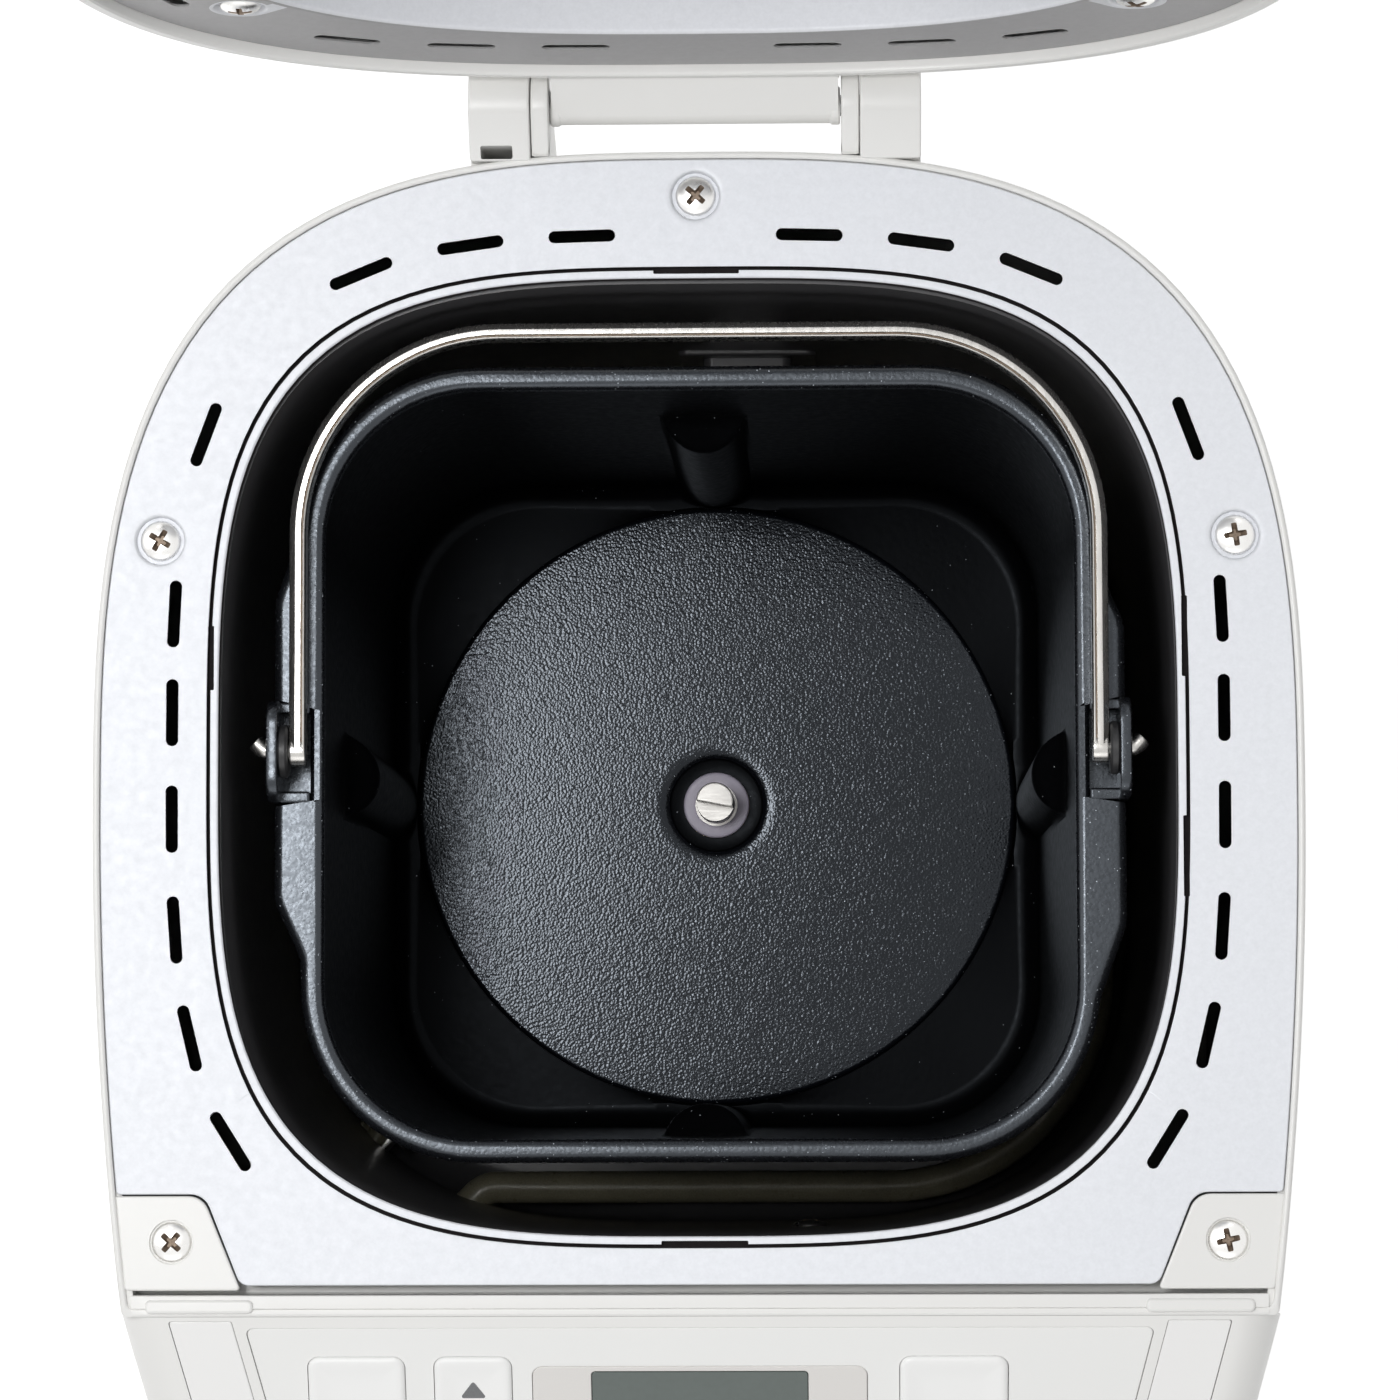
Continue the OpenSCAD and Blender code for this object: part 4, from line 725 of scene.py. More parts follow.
@dataclass(frozen=True)
class Datum:
    """Sizes that the pieces share, read from the frame, in millimetres from the pan shaft."""

    origin_y: float
    half_w: float
    back: float
    front_line: float
    front_reach: float
    front_half: float
    slope_z: float
    deck_z: float
    rim_top: float
    rim_z: float
    wing_x: float
    pan_under: float
    chamber_half: float
    chamber_low: float
    hinge_y: float
    hinge_z: float
    lid_open: float

    @classmethod
    def read(cls) -> "Datum":
        """Reads the shared sizes from the frame.

        Returns:
            The sizes.
        """
        boxes = {n: [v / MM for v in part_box(n)] for n in (
            "pan_shaft", "rear_housing", "front_housing", "deck_plate", "pan_shell", "oven_chamber",
            "hinge_pins")}
        shaft, rear, front = boxes["pan_shaft"], boxes["rear_housing"], boxes["front_housing"]
        pins, pan = boxes["hinge_pins"], boxes["pan_shell"]
        origin = (shaft[0].y + shaft[1].y) / 2
        swing = next(j for j in frame["joints"] if j["name"] == "lid_hinge")
        return cls(
            origin_y=origin, half_w=rear[1].x, back=rear[1].y - origin, front_line=origin - rear[0].y,
            front_reach=origin - front[0].y, front_half=front[1].x, slope_z=front[1].z,
            deck_z=boxes["deck_plate"][1].z, rim_top=rear[1].z,
            rim_z=pan[1].z, wing_x=pan[1].x, pan_under=pan[0].z,
            chamber_half=boxes["oven_chamber"][1].x - 0.8, chamber_low=boxes["oven_chamber"][0].z,
            hinge_y=(pins[0].y + pins[1].y) / 2 - origin, hinge_z=(pins[0].z + pins[1].z) / 2,
            lid_open=max(abs(v) for v in swing["range_deg"]),
        )


DATUM = Datum.read()
ORIGIN = Vector((0, DATUM.origin_y, 0))


def in_frame(spot: Sequence[float]) -> Vector:
    """Point in the frame, in metres, from one in millimetres from the pan shaft."""
    return (Vector(spot) + ORIGIN) * MM


def from_shaft(spot: Vector) -> Vector:
    """Point in millimetres from the pan shaft, from one in the frame."""
    return spot / MM - ORIGIN


@dataclass(frozen=True)
class Plan:
    """Plan of the body: a superellipse behind, bowed sides and a straight front."""

    roundness: float = 2.95
    widest: float = 8.2
    side_bow: float = 771.0
    rear_steps: int = 90
    side_steps: int = 14
    front_steps: int = 40

    def side_x(self, drawn: float, y: float) -> float:
        """Half width of the body at y, drawn in."""
        run = -self.widest - y
        return DATUM.half_w - drawn - (self.side_bow - math.sqrt(self.side_bow**2 - run * run))

    def rear(self, drawn: float) -> Points:
        """Rear half, from its right side round the back to its left side."""
        angles = np.linspace(0, np.pi, self.rear_steps + 1)
        unit = polar(super_reach(1.0, self.roundness, angles), angles)
        size = np.array([DATUM.half_w - drawn, DATUM.back + self.widest - drawn])
        return [tuple(p) for p in unit * size - np.array([0, self.widest])]

    def side(self, drawn: float, stop: float) -> Points:
        """Right side, from its widest line to y = stop, the first point left out."""
        run = stop + self.widest
        ys = [-self.widest + run * i / self.side_steps for i in range(1, self.side_steps + 1)]
        return [(self.side_x(drawn, y), y) for y in ys]

    def outline(self, drawn: float, front: float, radius: float = 0.5) -> Ring:
        """Whole outline down to y = -front.

        Args:
            drawn: How far it is drawn in.
            front: Distance of its front edge from the pan shaft.
            radius: Radius of its front corners.

        Returns:
            The outline, anticlockwise from its right side.
        """
        right = self.side(drawn, -front + radius)
        corner = arc_points((right[-1][0] - radius, -front + radius), radius, 0, -90, 6)[1:]
        right = right + corner
        left = [(-x, y) for x, y in right]
        count = self.front_steps
        front = [(left[-1][0] * (1 - 2 * k / count), left[-1][1]) for k in range(1, count)]
        return np.array(self.rear(drawn) + left + front + right[::-1], float)


PLAN = Plan()


# ---- Geometry node trees ----


class Tree(Nodes):
    """Geometry node tree with named sizes, run once on a mesh."""

    KINDS = {float: "NodeSocketFloat", int: "NodeSocketInt", bpy.types.Object: "NodeSocketObject",
             bpy.types.Material: "NodeSocketMaterial"}

    def __init__(self, name: str, inputs: Mapping[str, type]) -> None:
        """Starts the tree.

        Args:
            name: Name of the tree.
            inputs: Name and type of each of its inputs.
        """
        self.tree = bpy.data.node_groups.new(name, "GeometryNodeTree")
        face = self.tree.interface
        face.new_socket("Geometry", in_out="INPUT", socket_type="NodeSocketGeometry")
        for label, kind in inputs.items():
            face.new_socket(label, in_out="INPUT", socket_type=self.KINDS[kind])
        face.new_socket("Geometry", in_out="OUTPUT", socket_type="NodeSocketGeometry")
        self.entry = self.tree.nodes.new("NodeGroupInput")
        self.exit = self.tree.nodes.new("NodeGroupOutput")

    def given(self, label: str) -> Socket:
        """Socket of one of the tree's inputs."""
        return self.entry.outputs[label]

    def close(self, geometry: Socket) -> None:
        """Ends the tree with real geometry in the material that was given."""
        real = self.add("GeometryNodeRealizeInstances", {"Geometry": geometry})
        dressed = self.add("GeometryNodeSetMaterial", {"Geometry": real.outputs[0],
                                                       "Material": self.given("Material")})
        self.tree.links.new(dressed.outputs[0], self.exit.inputs[0])

    def run(self, name: str, source: bpy.types.Mesh, values: Mapping[str, object]) -> bpy.types.Mesh:
        """Runs the tree.

        Args:
            name: Name of the new mesh.
            source: Mesh that the tree starts from.
            values: Value of each named input.

        Returns:
            The plain mesh that the tree makes.
        """
        holder = linked(name + "_source", source)
        step = holder.modifiers.new("tree", "NODES")
        step.node_group = self.tree
        for socket in self.tree.interface.items_tree:
            if socket.in_out == "INPUT" and socket.name in values:
                step[socket.identifier] = values[socket.name]
        made = plain(holder)
        made.name = name
        bpy.data.objects.remove(holder)
        return made


@dataclass(frozen=True)
class Spot:
    """Place of a repeated shape: where it sits, where its axis points and how it is turned."""

    at: tuple[float, float, float]
    aim: tuple[float, float, float] = (0, 0, 1)
    turn: float = 0.0


def spots_mesh(spots: Sequence[Spot], place: Optional[Matrix] = None) -> bpy.types.Mesh:
    """Points that carry the aim and the turn of each spot.

    Args:
        spots: The places.
        place: Move that they share.

    Returns:
        A mesh of loose points in the frame.
    """
    move = place or Matrix.Identity(4)
    data = bpy.data.meshes.new("spots")
    data.from_pydata([tuple(in_frame(move @ Vector(s.at))) for s in spots], [], [])
    aims = [c for s in spots for c in move.to_3x3() @ Vector(s.aim)]
    data.attributes.new("aim", "FLOAT_VECTOR", "POINT").data.foreach_set("vector", aims)
    turns = [math.radians(s.turn) for s in spots]
    data.attributes.new("turn", "FLOAT", "POINT").data.foreach_set("value", turns)
    return data


class Repeater(Tree):
    """Tree that sets a template on each spot, with a seeded turn about its axis."""

    def __init__(self, cut: bool = False) -> None:
        """Builds the tree.

        Args:
            cut: Whether the templates are cut out of the body object instead of shown.
        """
        super().__init__("cutter" if cut else "repeater", {
            "Template": bpy.types.Object, "Body": bpy.types.Object, "Spread": float, "Seed": int,
            "Material": bpy.types.Material})
        shape = self.add("GeometryNodeObjectInfo", {"Object": self.given("Template")})
        aim = self.add("GeometryNodeInputNamedAttribute", {"Name": "aim"}, data_type="FLOAT_VECTOR")
        turn = self.add("GeometryNodeInputNamedAttribute", {"Name": "turn"}, data_type="FLOAT")
        facing = self.add("FunctionNodeAlignRotationToVector", {"Vector": aim.outputs[0]}, axis="Z")
        chance = self.add("FunctionNodeRandomValue", {2: 0.0, 3: self.given("Spread"), 8: self.given("Seed")},
                          data_type="FLOAT")
        angle = self.sum("ADD", chance.outputs[1], turn.outputs[0])
        about = self.add("FunctionNodeAxisAngleToRotation", {"Axis": (0, 0, 1), "Angle": angle})
        both = self.add("FunctionNodeRotateRotation", {0: facing.outputs[0], 1: about.outputs[0]},
                        rotation_space="LOCAL")
        placed = self.add("GeometryNodeInstanceOnPoints", {
            "Points": self.entry.outputs[0], "Instance": shape.outputs["Geometry"],
            "Rotation": both.outputs[0]})
        result = placed.outputs[0]
        if cut:
            body = self.add("GeometryNodeObjectInfo", {"Object": self.given("Body")})
            real = self.add("GeometryNodeRealizeInstances", {"Geometry": result})
            less = self.add("GeometryNodeMeshBoolean", {0: body.outputs["Geometry"], 1: real.outputs[0]},
                            operation="DIFFERENCE", solver="EXACT")
            result = less.outputs[0]
        self.close(result)

    def make(self, name: str, shape: Shape, spots: Sequence[Spot], material: bpy.types.Material,
             place: Optional[Matrix] = None, spread: float = 0.0, seed: int = 0,
             body: Optional[bpy.types.Object] = None) -> bpy.types.Mesh:
        """Repeats a shape over spots.

        Args:
            name: Name of the new mesh.
            shape: Shape to repeat, about the origin.
            spots: Where it goes.
            material: Material of the result.
            place: Move that the spots share.
            spread: Largest random turn in degrees.
            seed: Seed of the turns.
            body: Object that the shapes are cut out of.

        Returns:
            The mesh.
        """
        model = shape.template()
        values = {"Template": model, "Spread": math.radians(spread), "Seed": seed, "Material": material}
        if body:
            values["Body"] = body
        made = self.run(name, spots_mesh(spots, place), values)
        bpy.data.objects.remove(model)
        return made


class Sweeper(Tree):
    """Tree that draws a section along a path."""

    def __init__(self) -> None:
        """Builds the tree."""
        super().__init__("sweeper", {"Section": bpy.types.Object, "Material": bpy.types.Material})
        path = self.add("GeometryNodeMeshToCurve", {"Mesh": self.entry.outputs[0]})
        up = self.add("GeometryNodeSetCurveNormal", {"Curve": path.outputs[0]}, mode="Z_UP")
        shape = self.add("GeometryNodeObjectInfo", {"Object": self.given("Section")})
        section = self.add("GeometryNodeMeshToCurve", {"Mesh": shape.outputs["Geometry"]})
        swept = self.add("GeometryNodeCurveToMesh", {
            "Curve": up.outputs[0], "Profile Curve": section.outputs[0], "Fill Caps": True})
        self.close(swept.outputs[0])

    def make(self, name: str, path: Sequence[Sequence[float]], section: Ring,
             material: bpy.types.Material) -> bpy.types.Mesh:
        """Draws the section along the path.

        Args:
            name: Name of the new mesh.
            path: Points of the path, in millimetres from the pan shaft.
            section: Outline of the section.
            material: Material of the result.

        Returns:
            The mesh.
        """
        line = bpy.data.meshes.new("path")
        line.from_pydata([tuple(in_frame(p)) for p in path], [(i, i + 1) for i in range(len(path) - 1)], [])
        data = bpy.data.meshes.new("section")
        count = len(section)
        data.from_pydata([(x * MM, y * MM, 0) for x, y in section],
                         [(i, (i + 1) % count) for i in range(count)], [])
        model = bpy.data.objects.new("section", data)
        made = self.run(name, line, {"Section": model, "Material": material})
        bpy.data.objects.remove(model)
        return made


# ---- Fasteners ----


@dataclass(frozen=True)
class PanScrew:
    """Screw with a low domed head and a cross recess."""

    head_r: float = 3.72
    head_h: float = 1.9
    shank_r: float = 1.5
    shank: float = 8.0
    recess_r: float = 2.4
    recess_w: float = 0.56
    spread: float = 70.0

    def shape(self) -> tuple[Shape, Shape]:
        """Screw about the origin, its seat at z = 0 and its shank below.

        Returns:
            The screw without its recess, and the recess.
        """
        r, h = self.head_r, self.head_h
        dome = [(r - 0.02, 0.0), (r, 0.25), (r - 0.02, 0.55), (r - 0.14, 0.85), (r - 0.42, 1.15),
                (r - 0.85, h * 0.74), (r - 1.5, h * 0.87), (r - 2.3, h * 0.96), (0.9, h), (0, h)]
        shank = [(0, -self.shank), (self.shank_r * 0.5, -self.shank), (self.shank_r, -self.shank + 1.2),
                 (self.shank_r, 0.0)]
        head = Shape().turned(shank + dome, 40)
        cross = Shape()
        for turn in (0, 90):
            top = rounded_box(self.recess_r, self.recess_w, 0.25, 2)
            low = rounded_box(self.recess_r * 0.45, self.recess_w * 0.55, 0.2, 2)
            arm = Shape().loft([level(low, h - 1.5), level(top, h + 0.05), level(top, h + 0.6)])
            cross.add(arm, Matrix.Rotation(math.radians(turn), 4, "Z"))
        cross.add(Shape().turned([(0, h - 1.6), (0.7, h - 1.15), (0.85, h + 0.05), (0.85, h + 0.6),
                                  (0, h + 0.6)], 16))
        return head, cross

    def cut(self) -> Shape:
        """Screw with its recess cut."""
        item, tool = (shape.template() for shape in self.shape())
        for one in (item, tool):
            bpy.context.scene.collection.objects.link(one)
        step = item.modifiers.new("recess", "BOOLEAN")
        step.object, step.solver, step.use_self = tool, "EXACT", True
        data, made = plain(item), Shape()
        made.points = [tuple(v.co / MM) for v in data.vertices]
        made.faces = [tuple(p.vertices) for p in data.polygons]
        for one in (item, tool):
            bpy.data.objects.remove(one)
        return made

    def set(self, tree: Repeater, name: str, spots: Sequence[Spot], seed: int, body: Body,
            node: str, place: Optional[Matrix] = None) -> None:
        """Sets a screw on each spot, with a second finish in its recess.

        Args:
            tree: Tree that repeats it.
            name: Name of the piece.
            spots: Where the screws go.
            seed: Seed of their turns.
            body: Body that they ride on.
            node: Node of the frame that they stand for.
            place: Move that the spots share.
        """
        data = tree.make(name, self.cut(), spots, PALETTE.screw, place, self.spread, seed)
        move = place or Matrix.Identity(4)
        seats = [(in_frame(move @ Vector(s.at)), move.to_3x3() @ Vector(s.aim)) for s in spots]
        # Faces of the cross recess take the dark recess finish: painted shade.
        for face in data.polygons:
            seat, aim = min(seats, key=lambda one: (face.center - one[0]).length)
            gap = (face.center - seat) / MM
            high = gap.dot(aim)
            across = (gap - aim * high).length
            inner = across < self.recess_r + 0.2 and 0.1 < high < self.head_h
            face.material_index = int(inner and (face.normal.dot(aim) < 0.7 or high < self.head_h * 0.65))
        Piece(name, data).done(PALETTE.screws, body, Slot.SCREW, node)


# ---- Housing ----


@dataclass
class Housing:
    """Rear housing with its rim, corner tabs, front ledge, hinge posts and cord gland."""

    wall: float = 2.6
    rim: float = 1.4
    low: float = 5.5
    shelf_drop: float = 0.85
    deck_front: float = 97.5
    tab_depth: float = 16.5
    tab_w: float = 15.1
    tab_slant: float = 6.7
    tab_front: float = 98.4
    ledge_drop: float = 0.65
    hinge_half: float = 27.2
    post_w: float = 15.0
    post_r: float = 8.3
    post_drop: float = 36.0
    gland_z: float = 24.0

    def side_at_line(self) -> float:
        """Half width of the body at its front line."""
        return PLAN.side_x(0, -DATUM.front_line)

    def tab_outline(self) -> Ring:
        """Plan of the right corner tab."""
        front, back = self.tab_front, self.tab_depth - self.deck_front
        inner = self.side_at_line() - self.tab_w
        side = [(PLAN.side_x(self.rim - 0.1, y), y) for y in np.linspace(-front, back, 7)]
        foot = (inner - self.tab_slant / self.tab_depth * (front + back), -front)
        return rounded(side + [(inner, back), foot], [0.8] + [0] * 6 + [4, 0.6], 6)

    def shell(self) -> Shape:
        """Wall with a rounded rim and the shelf that the deck lies on."""
        top, shelf = DATUM.rim_top, DATUM.deck_z - self.shelf_drop
        profile = [(self.wall, self.low + 0.3), (self.wall - 0.3, self.low), (0.5, self.low),
                   (0.15, self.low + 0.15), (0, self.low + 0.5), (0, 60), (0, 120), (0, 180), (0, top - 3),
                   (0.02, top - 1.1), (0.12, top - 0.6), (0.3, top - 0.26), (0.52, top - 0.07), (0.75, top),
                   (0.95, top - 0.02), (1.15, top - 0.13), (1.3, top - 0.32), (self.rim, top - 0.6),
                   (self.rim, shelf), (self.wall, shelf)]
        rings = []
        for drawn, z in profile:
            outline = PLAN.outline(drawn, DATUM.front_line - drawn, 1.2)
            front = np.clip((-outline[:, 1] - self.tab_front) / (DATUM.front_line - self.tab_front), 0, 1)
            over = max(0.0, z - (DATUM.deck_z - 1.6))
            rings.append(level(outline, z - over * front * 0.9))
        return Shape().loft(rings, wrap=True)

    def ledge(self) -> Shape:
        """Ledge across the front: a low strip; the bars at its ends come from bars."""
        high, front = DATUM.deck_z - self.ledge_drop, DATUM.front_line
        profile = [(-front + 0.02, high - 8), (-front + 0.02, high - 0.95), (-front + 0.12, high - 0.6),
                   (-front + 0.4, high - 0.35), (-front + 0.6, high - 0.3), (-front + 1.3, high - 0.32),
                   (-front + 1.4, high - 0.5), (-front + 1.5, high - 0.1), (-front + 1.7, high),
                   (-self.tab_front - 1.1, high), (-self.tab_front - 0.95, high - 0.12),
                   (-self.tab_front - 0.86, high - 0.5), (-self.tab_front - 0.8, high - 6.0),
                   (-self.tab_front - 0.5, high - 6.3), (-self.deck_front + 3, high - 6.5),
                   (-self.deck_front + 3, high - 8)]
        half = self.side_at_line() - 1.9
        return Shape().loft([standing(profile, x) for x in np.linspace(-half, half, 9)])

    def bars(self) -> Shape:
        """Raised bar at each end of the ledge."""
        high = DATUM.deck_z - self.ledge_drop
        bar = Shape().block(rounded_box(10.0, 1.25, 1.0, 6), high - 2, high + 0.7, 0.6)
        return bar.moved(by(92.2, 1.9 - DATUM.front_line, 0)).pair()

    def post(self) -> Shape:
        """Right hinge post: a block with a thin cheek on its inner side."""
        y, z, back = DATUM.hinge_y, DATUM.hinge_z, DATUM.back
        around = arc_points((y, z), self.post_r, -50, 159, 15)
        profile = around + [(back - 1.7, z + 2.9), (back - 1.7, z - 0.9), (back - 9, z - 1.6),
                            (back - 9, z - self.post_drop), (back + 0.6, z - self.post_drop)]
        outline = rounded(profile, [0] * len(around) + [0.5, 0, 0, 0, 2], 5)
        made = Shape()
        for low, high, small in ((self.hinge_half + 3.6, self.hinge_half + self.post_w, 0.0),
                                 (self.hinge_half + 0.1, self.hinge_half + 3.5, 1.1)):
            edge = 0.6
            rings = [(low, small + edge), (low + edge * 0.3, small + edge * 0.3), (low + edge, small),
                     (high - edge, small), (high - edge * 0.3, small + edge * 0.3), (high, small + edge)]
            made.loft([standing(inset(outline, i), x) for x, i in rings])
        return made.loft([standing(inset(outline, 2.4), self.hinge_half + x) for x in (3, 4)])

    def build(self) -> None:
        """Builds and dresses the housing."""
        seat = Shape().turned([(0, -0.8), (3.95, -0.8), (4.1, -0.7), (4.12, 0.02), (4.35, 0.12), (4.9, 0.3),
                               (0, 0.3)], 48)
        screws = Shape()
        for x in (self.side_at_line() - 9.3, 9.3 - self.side_at_line()):
            screws.add(seat, by(x, -89.5, DATUM.deck_z))
        tabs = Shape().block(self.tab_outline(), DATUM.deck_z - 3, DATUM.deck_z, 0.45).pair()
        rear = Piece("rear_shell", self.shell())
        for shape in (tabs, self.ledge(), self.bars()):
            rear.combine(shape, "UNION")
        rear.combine(screws)
        gland = Shape().turned([(0, -8), (6.3, -8), (6.3, 8), (0, 8)], 40)
        place = by(0, DATUM.back, self.gland_z) @ UPRIGHT
        rear.combine(gland.moved(place))
        notch = Shape().block(rounded_box(3.0, 1.15, 0.4, 4), DATUM.hinge_z - 24, DATUM.hinge_z + 12, 0)
        notch = notch.moved(by(-37.1, DATUM.back - 0.3, 0))
        rear.combine(notch)
        rear.done(PALETTE.shell, Body.BASE, Slot.WHITE, "rear_housing")
        posts = Piece("hinge_arms", self.post().pair())
        posts.combine(notch)
        posts.done(PALETTE.shell, Body.BASE, Slot.WHITE, "hinge_posts")
        collar = [(3, -3), (8.0, -3), (8.5, -2.6), (8.5, -0.7), (8.1, -0.3), (6.0, -0.3), (6.0, 2.9),
                  (8.1, 2.9), (8.5, 3.3), (8.5, 5.4), (8.0, 5.9), (3.0, 5.9)]
        ring = Shape().turned([(r, -z) for r, z in reversed(collar)], 48, wrap=True)
        Piece("cord_collar", ring.moved(place @ FLIPPED)).done(PALETTE.black, Body.BASE, Slot.BLACK,
                                                               "cord_gland")


@dataclass
class FrontHousing:
    """Front housing: tapered sides, a rounded brow and a sloping top with its pockets."""

    low: float = 5.5
    taper: float = 13.5
    corner_r: float = 28.0
    slope: float = 25.0
    side_r: float = 8.5
    brow_r: float = 14.0
    wall: float = 2.5
    fascia_top: float = 2.4
    fascia_len: float = 84.0
    margin: float = 9.3
    trim_w: float = 11.6
    trim_gap: float = 2.2

    def fascia_half(self) -> float:
        """Half width of the fascia at the top of the slope."""
        return DATUM.front_half - self.margin - self.trim_w - self.trim_gap

    def taper_half(self, half: float, y: float) -> float:
        """Half width at y on the slope of an edge that starts at half."""
        return half + y * math.cos(math.radians(self.slope)) * math.tan(math.radians(self.taper))

    def on_slope(self) -> Matrix:
        """Move from the slope's own axes to the pan shaft's."""
        return by(0, -DATUM.front_line, DATUM.slope_z) @ Matrix.Rotation(math.radians(self.slope), 4, "X")

    def top_z(self, y: Ring) -> Ring:
        """Height of the sloping top at y."""
        return DATUM.slope_z + (y + DATUM.front_line) * math.tan(math.radians(self.slope))

    def fascia_outline(self, grow: float = 0.0, radius: float = 1.3) -> Ring:
        """Plan of the fascia on the slope, made wider by grow."""
        top, low = grow - self.fascia_top, -self.fascia_top - self.fascia_len - grow
        half = self.fascia_half()
        ends = self.taper_half(half, top) + grow, self.taper_half(half, low) + grow
        corners = [(-ends[1], low), (ends[1], low), (ends[0], top), (-ends[0], top)]
        return rounded(corners, [radius + 3, radius + 3, radius, radius], 8)

    def trim_outline(self, grow: float = 0.0) -> Ring:
        """Plan of the right trim strip on the slope, made wider by grow."""
        inner = self.fascia_half() + self.trim_gap - grow
        outer = inner + self.trim_w + 2 * grow
        top, low = grow - 1.0, -self.fascia_top - self.fascia_len - grow
        corners = [(self.taper_half(inner, low), low), (self.taper_half(outer, low), low),
                   (self.taper_half(outer, top), top), (self.taper_half(inner, top), top)]
        return rounded(corners, [0.5] * 4, 3)

    def plan(self) -> Ring:
        """Plan of the housing at its foot, anticlockwise from its right rear corner."""
        half, reach_ = DATUM.front_half, DATUM.front_reach
        depth = reach_ - DATUM.front_line
        low = half - depth * math.tan(math.radians(self.taper))
        corners = [(-half, -DATUM.front_line), (-low, -reach_), (low, -reach_), (half, -DATUM.front_line)]
        outline = rounded(corners, [0, self.corner_r, self.corner_r, 0], 20)
        dense: list[Ring] = []
        for i in range(len(outline)):
            a, b = outline[i], outline[(i + 1) % len(outline)]
            long = np.linalg.norm(b - a)
            steps = 1 if i == len(outline) - 1 else max(1, round(long / 6))
            dense += [a + (b - a) * k / steps for k in range(steps)]
        return np.array(dense)

    def skin(self) -> Shape:
        """Outer skin, open below: walls, rounded edges and the sloping top."""
        outline = self.plan()
        ahead = np.roll(outline, -1, 0) - outline
        ahead /= np.linalg.norm(ahead, axis=1, keepdims=True)
        out = np.stack([ahead[:, 1], -ahead[:, 0]], 1)
        normal = out + np.roll(out, 1, 0)
        normal /= np.linalg.norm(normal, axis=1, keepdims=True)
        back = outline[:, 1] > -DATUM.front_line - 0.01
        normal[back] = np.stack([np.sign(outline[back][:, 0]), np.zeros(back.sum())], 1)
        facing = np.clip(-normal[:, 1], 0, 1)
        radius = self.side_r + (self.brow_r - self.side_r) * facing**2
        lean = np.arctan(math.tan(math.radians(self.slope)) * facing)
        centre = outline - normal * radius[:, None]
        middle = self.top_z(centre[:, 1]) - radius / np.cos(lean)
        rings = [level(outline, self.low + 0.0), level(outline, self.low + 30), level(outline, self.low + 90)]
        for share in np.linspace(0, 1, 13):
            turn = share * (np.pi / 2 - lean)
            spot = centre + normal * (radius * np.cos(turn))[:, None]
            spot[:, 1] = np.minimum(spot[:, 1], -DATUM.front_line - 0.02)
            z = np.minimum(middle + radius * np.sin(turn), self.top_z(spot[:, 1]))
            rings.append(level(spot, z))
        return Shape().loft(rings, caps=(False, True))

    def build(self) -> None:
        """Builds and dresses the housing and its two trim strips."""
        place = self.on_slope()
        pocket = Shape().block(self.fascia_outline(0.09), -2.25, 3, 0)
        well = Shape().block(self.fascia_outline(-5), -8, 0, 0)
        trims = Shape().block(self.trim_outline(0.12), -1.2, 3, 0).pair()
        housing = Piece("front_shell", self.skin()).wall(self.wall)
        for tool in (pocket, well, trims):
            housing.combine(tool.moved(place))
        housing.done(PALETTE.shell, Body.BASE, Slot.WHITE, "front_housing")
        strips = Shape().block(self.trim_outline(), -1.2, 0.02, 0.25).pair()
        Piece("trim_strips", strips.moved(place)).done(PALETTE.trim, Body.BASE, Slot.WHITE, "side_trims")


@dataclass(frozen=True)
class Key:
    """One key of the panel: its place on the slope, its width and what it rides on."""

    name: str
    x: float
    y: float
    width: float
    body: Body
    arrow: int = 0


